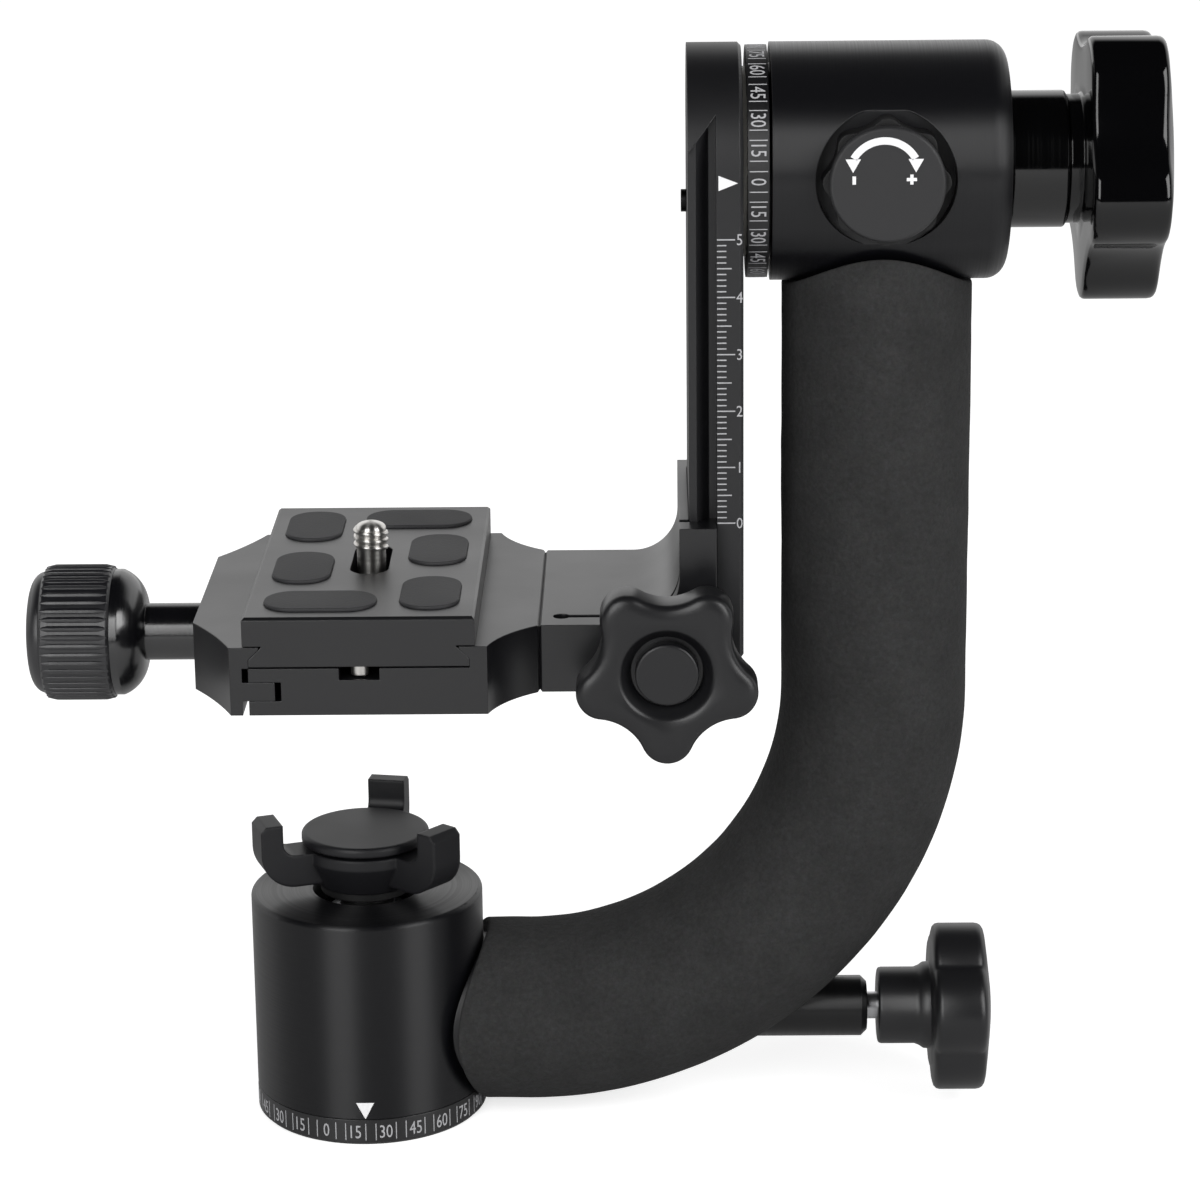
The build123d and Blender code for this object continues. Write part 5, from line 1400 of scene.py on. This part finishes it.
@dataclass
class CameraPlate:
    """The camera plate with its rubber inlays and its screw."""

    plate_x: float = PLATE_SCREW_X
    head_low: float = 96.55
    head_high: float = 99.85
    head_radius: float = 6.6
    neck_radius: float = 2.6
    crest: float = 3.175
    thread_depth: float = 0.42
    thread_low: float = 107.2
    tip: float = 112.3
    pitch: float = 1.27
    run_in: float = 0.4
    run_out: float = 1.6
    inlay_edge: float = 0.35
    merge_distance: float = 0.001

    def build(self) -> None:
        """Dress the plate, soften its inlays and cut the screw's thread."""
        BODY_FINE.dress("qr_plate")
        CHROME.dress("plate_guard_screws")
        STEEL.dress("camera_screw_clip")
        self.soften_inlays()
        steel = SCREW_STEEL.material()
        core = make_piece("camera_screw_core", self.core(), steel)
        place = Matrix.Translation((self.plate_x, 0, self.thread_low + self.run_in))
        thread = Grower("camera_screw_thread", place, steel, Radius=self.crest - self.thread_depth,
                        Pitch=self.pitch, Depth=self.thread_depth,
                        Turns=(self.tip - self.thread_low - self.run_out) / self.pitch).thread()
        for piece in (core, thread):
            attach(piece, "camera_screw")
        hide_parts("camera_screw")

    def core(self) -> Surface:
        """Turn the screw: head, neck, thread root and domed tip.

        Returns:
            Points and faces.
        """
        low, high, head, neck = self.head_low, self.head_high, self.head_radius, self.neck_radius
        root = self.crest - self.thread_depth
        return turn([(low, 1.0), (low, head - 0.3), (low + 0.3, head), (high - 0.3, head),
                     (high, head - 0.3), (high, neck), (self.thread_low, neck),
                     (self.thread_low + 0.2, root), (self.tip - 1.3, root),
                     *quarter((self.tip - 1.25, root), (self.tip, 0.2))],
                    Seat(Facing.UP, (self.plate_x, 0.0)), 64)

    def soften_inlays(self) -> None:
        """Copy the inlays and round their edges, as moulded rubber has them."""
        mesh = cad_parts["plate_pads"].data.copy()
        shape = bmesh.new()
        shape.from_mesh(mesh)
        bmesh.ops.remove_doubles(shape, verts=shape.verts, dist=self.merge_distance * MM)
        bmesh.ops.dissolve_limit(shape, angle_limit=math.radians(1), verts=shape.verts,
                                 edges=shape.edges)
        bmesh.ops.recalc_face_normals(shape, faces=shape.faces)
        shape.to_mesh(mesh)
        shape.free()
        inlays = link_piece("plate_inlays", mesh, PAD.material())
        bevel = inlays.modifiers.new("soft_edge", "BEVEL")
        bevel.width = self.inlay_edge * MM
        bevel.segments = 3
        bevel.limit_method = "ANGLE"
        bevel.angle_limit = math.radians(50)
        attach(inlays, "camera_plate")
        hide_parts("plate_pads")


# ------------------------------------------------------------------ studio
@dataclass
class Softbox:
    """A soft lamp, given by the direction it shines from. Lengths are in metres."""

    name: str
    azimuth: float
    elevation: float = 22.0
    distance: float = 1.5
    width: float = 0.7
    height: float = 1.1
    power: float = 12.0
    aim: Point = (0.045, 0.0, 0.1)

    def build(self) -> None:
        """Hang the lamp and aim it at the head."""
        light = bpy.data.lights.new(self.name, "AREA")
        light.shape = "RECTANGLE"
        light.size = self.width
        light.size_y = self.height
        light.energy = self.power
        lamp = add_object(self.name, light)
        azimuth, elevation = math.radians(self.azimuth), math.radians(self.elevation)
        out = Vector((math.cos(elevation) * math.sin(azimuth),
                      -math.cos(elevation) * math.cos(azimuth), math.sin(elevation)))
        lamp.location = Vector(self.aim) + out * self.distance
        lamp.rotation_euler = out.to_track_quat("Z", "Y").to_euler()


@dataclass
class Studio:
    """Floor, surroundings, lamps and camera. Angles are in radians, floor edges in metres.

    The backdrop fades out at its sides and its top, each between two parts of a unit direction.
    """

    eye_mm: Point = (53.066, -667.232, 295.564)
    yaw: float = -0.0141
    pitch_down: float = 0.2860
    roll: float = -0.0112
    focal_px: float = 3857.28
    frame_px: float = 1200.0
    floor_x: Flat = (-1.6, 1.7)
    floor_y: Flat = (-1.3, 2.4)
    floor_colour: str = "dcdcdc"
    floor_glow: float = 0.69
    backdrop_sides: Flat = (-0.05, 0.3)
    backdrop_top: Flat = (0.75, 0.5)
    front_light: float = 0.01
    fill: float = 0.4

    def build(self) -> None:
        """Set up everything round the head."""
        self.set_camera()
        self.lay_floor()
        self.set_surroundings()
        for lamp in (Softbox("softbox_left", -26.0), Softbox("softbox_right", 52.0)):
            lamp.build()

    def set_camera(self) -> None:
        """Place the camera."""
        yaw, pitch, roll = self.yaw, self.pitch_down, self.roll
        ahead = Vector((math.sin(yaw) * math.cos(pitch), math.cos(yaw) * math.cos(pitch),
                        -math.sin(pitch)))
        right = Vector((math.cos(yaw), -math.sin(yaw), 0))
        up = right.cross(ahead)
        tilted = math.cos(roll) * right + math.sin(roll) * up
        above = -math.sin(roll) * right + math.cos(roll) * up
        data = bpy.data.cameras.new("camera")
        data.sensor_fit = "HORIZONTAL"
        data.sensor_width = 36.0
        data.lens = self.focal_px / self.frame_px * data.sensor_width
        data.clip_start = 0.05
        camera = add_object("camera", data)
        turned = Matrix((tilted, above, -ahead)).transposed().to_4x4()
        camera.matrix_world = Matrix.Translation(Vector(self.eye_mm) * MM) @ turned
        bpy.context.scene.camera = camera

    def lay_floor(self) -> None:
        """Lay a pale floor that shows white to the camera and keeps the head's shadow."""
        (left, right), (front, back) = self.floor_x, self.floor_y
        mesh = bpy.data.meshes.new("floor")
        mesh.from_pydata([(left, front, 0), (right, front, 0), (right, back, 0), (left, back, 0)], [],
                         [(0, 1, 2, 3)])
        floor = add_object("floor", mesh)
        material = bpy.data.materials.new("white_paper")
        material.use_nodes = True
        graph = Graph(material.node_tree)
        paper = graph.add("ShaderNodeBsdfDiffuse", inputs={"Color": linear(self.floor_colour)})
        glow = graph.add("ShaderNodeEmission", inputs={"Color": WHITE, "Strength": self.floor_glow})
        both = graph.add("ShaderNodeAddShader", inputs={0: paper, 1: glow})
        by_camera = graph.add("ShaderNodeLightPath").outputs["Is Camera Ray"]
        shown = graph.add("ShaderNodeMixShader", inputs={0: by_camera, 1: paper, 2: both})
        graph.add("ShaderNodeOutputMaterial", inputs={"Surface": shown})
        mesh.materials.append(material)

    def set_surroundings(self) -> None:
        """Light the head from a white backdrop behind it and a dim room in front."""
        world = bpy.data.worlds.new("studio_room")
        bpy.context.scene.world = world
        world.use_nodes = True
        graph = Graph(world.node_tree)
        (dark_y, light_y), (dark_z, light_z) = self.backdrop_sides, self.backdrop_top
        towards = graph.add("ShaderNodeTexCoord").outputs["Generated"]
        parts = graph.add("ShaderNodeSeparateXYZ", inputs={"Vector": towards}).outputs
        behind = graph.add("ShaderNodeMapRange", {"interpolation_type": "SMOOTHSTEP"}, {
            "Value": parts["Y"], "From Min": dark_y, "From Max": light_y})
        low = graph.add("ShaderNodeMapRange", {"interpolation_type": "SMOOTHSTEP"}, {
            "Value": parts["Z"], "From Min": dark_z, "From Max": light_z})
        both = graph.add("ShaderNodeMath", {"operation": "MULTIPLY"}, {0: behind, 1: low})
        room = graph.add("ShaderNodeMapRange", inputs={
            "Value": both, "To Min": self.front_light, "To Max": 1.0})
        rays = graph.add("ShaderNodeLightPath").outputs
        seen = graph.add("ShaderNodeMath", {"operation": "MAXIMUM"}, {
            0: rays["Is Camera Ray"], 1: rays["Is Transmission Ray"]})
        lit = graph.add("ShaderNodeMix", {"data_type": "FLOAT"}, {
            0: rays["Is Diffuse Ray"], 2: room, 3: self.fill})
        strength = graph.add("ShaderNodeMath", {"operation": "MAXIMUM"}, {0: lit, 1: seen})
        white = graph.add("ShaderNodeBackground", inputs={"Color": WHITE, "Strength": strength})
        graph.add("ShaderNodeOutputWorld", inputs={"Surface": white})


def main() -> None:
    """Build the head's looks and the studio, piece by piece."""
    logging.basicConfig(level=logging.INFO, format="%(name)s: %(message)s")
    bpy.context.scene.view_settings.view_transform = "Standard"
    for part in (Studio(), PanBase(), TensionNut(), SideArm(), PanLock(), TiltHub(), SwingArm(),
                 TiltLock(), PlatformParts(), PlateClamp(), CameraPlate()):
        part.build()
        log.info("%s done", type(part).__name__)


if __name__ == "__main__":
    main()
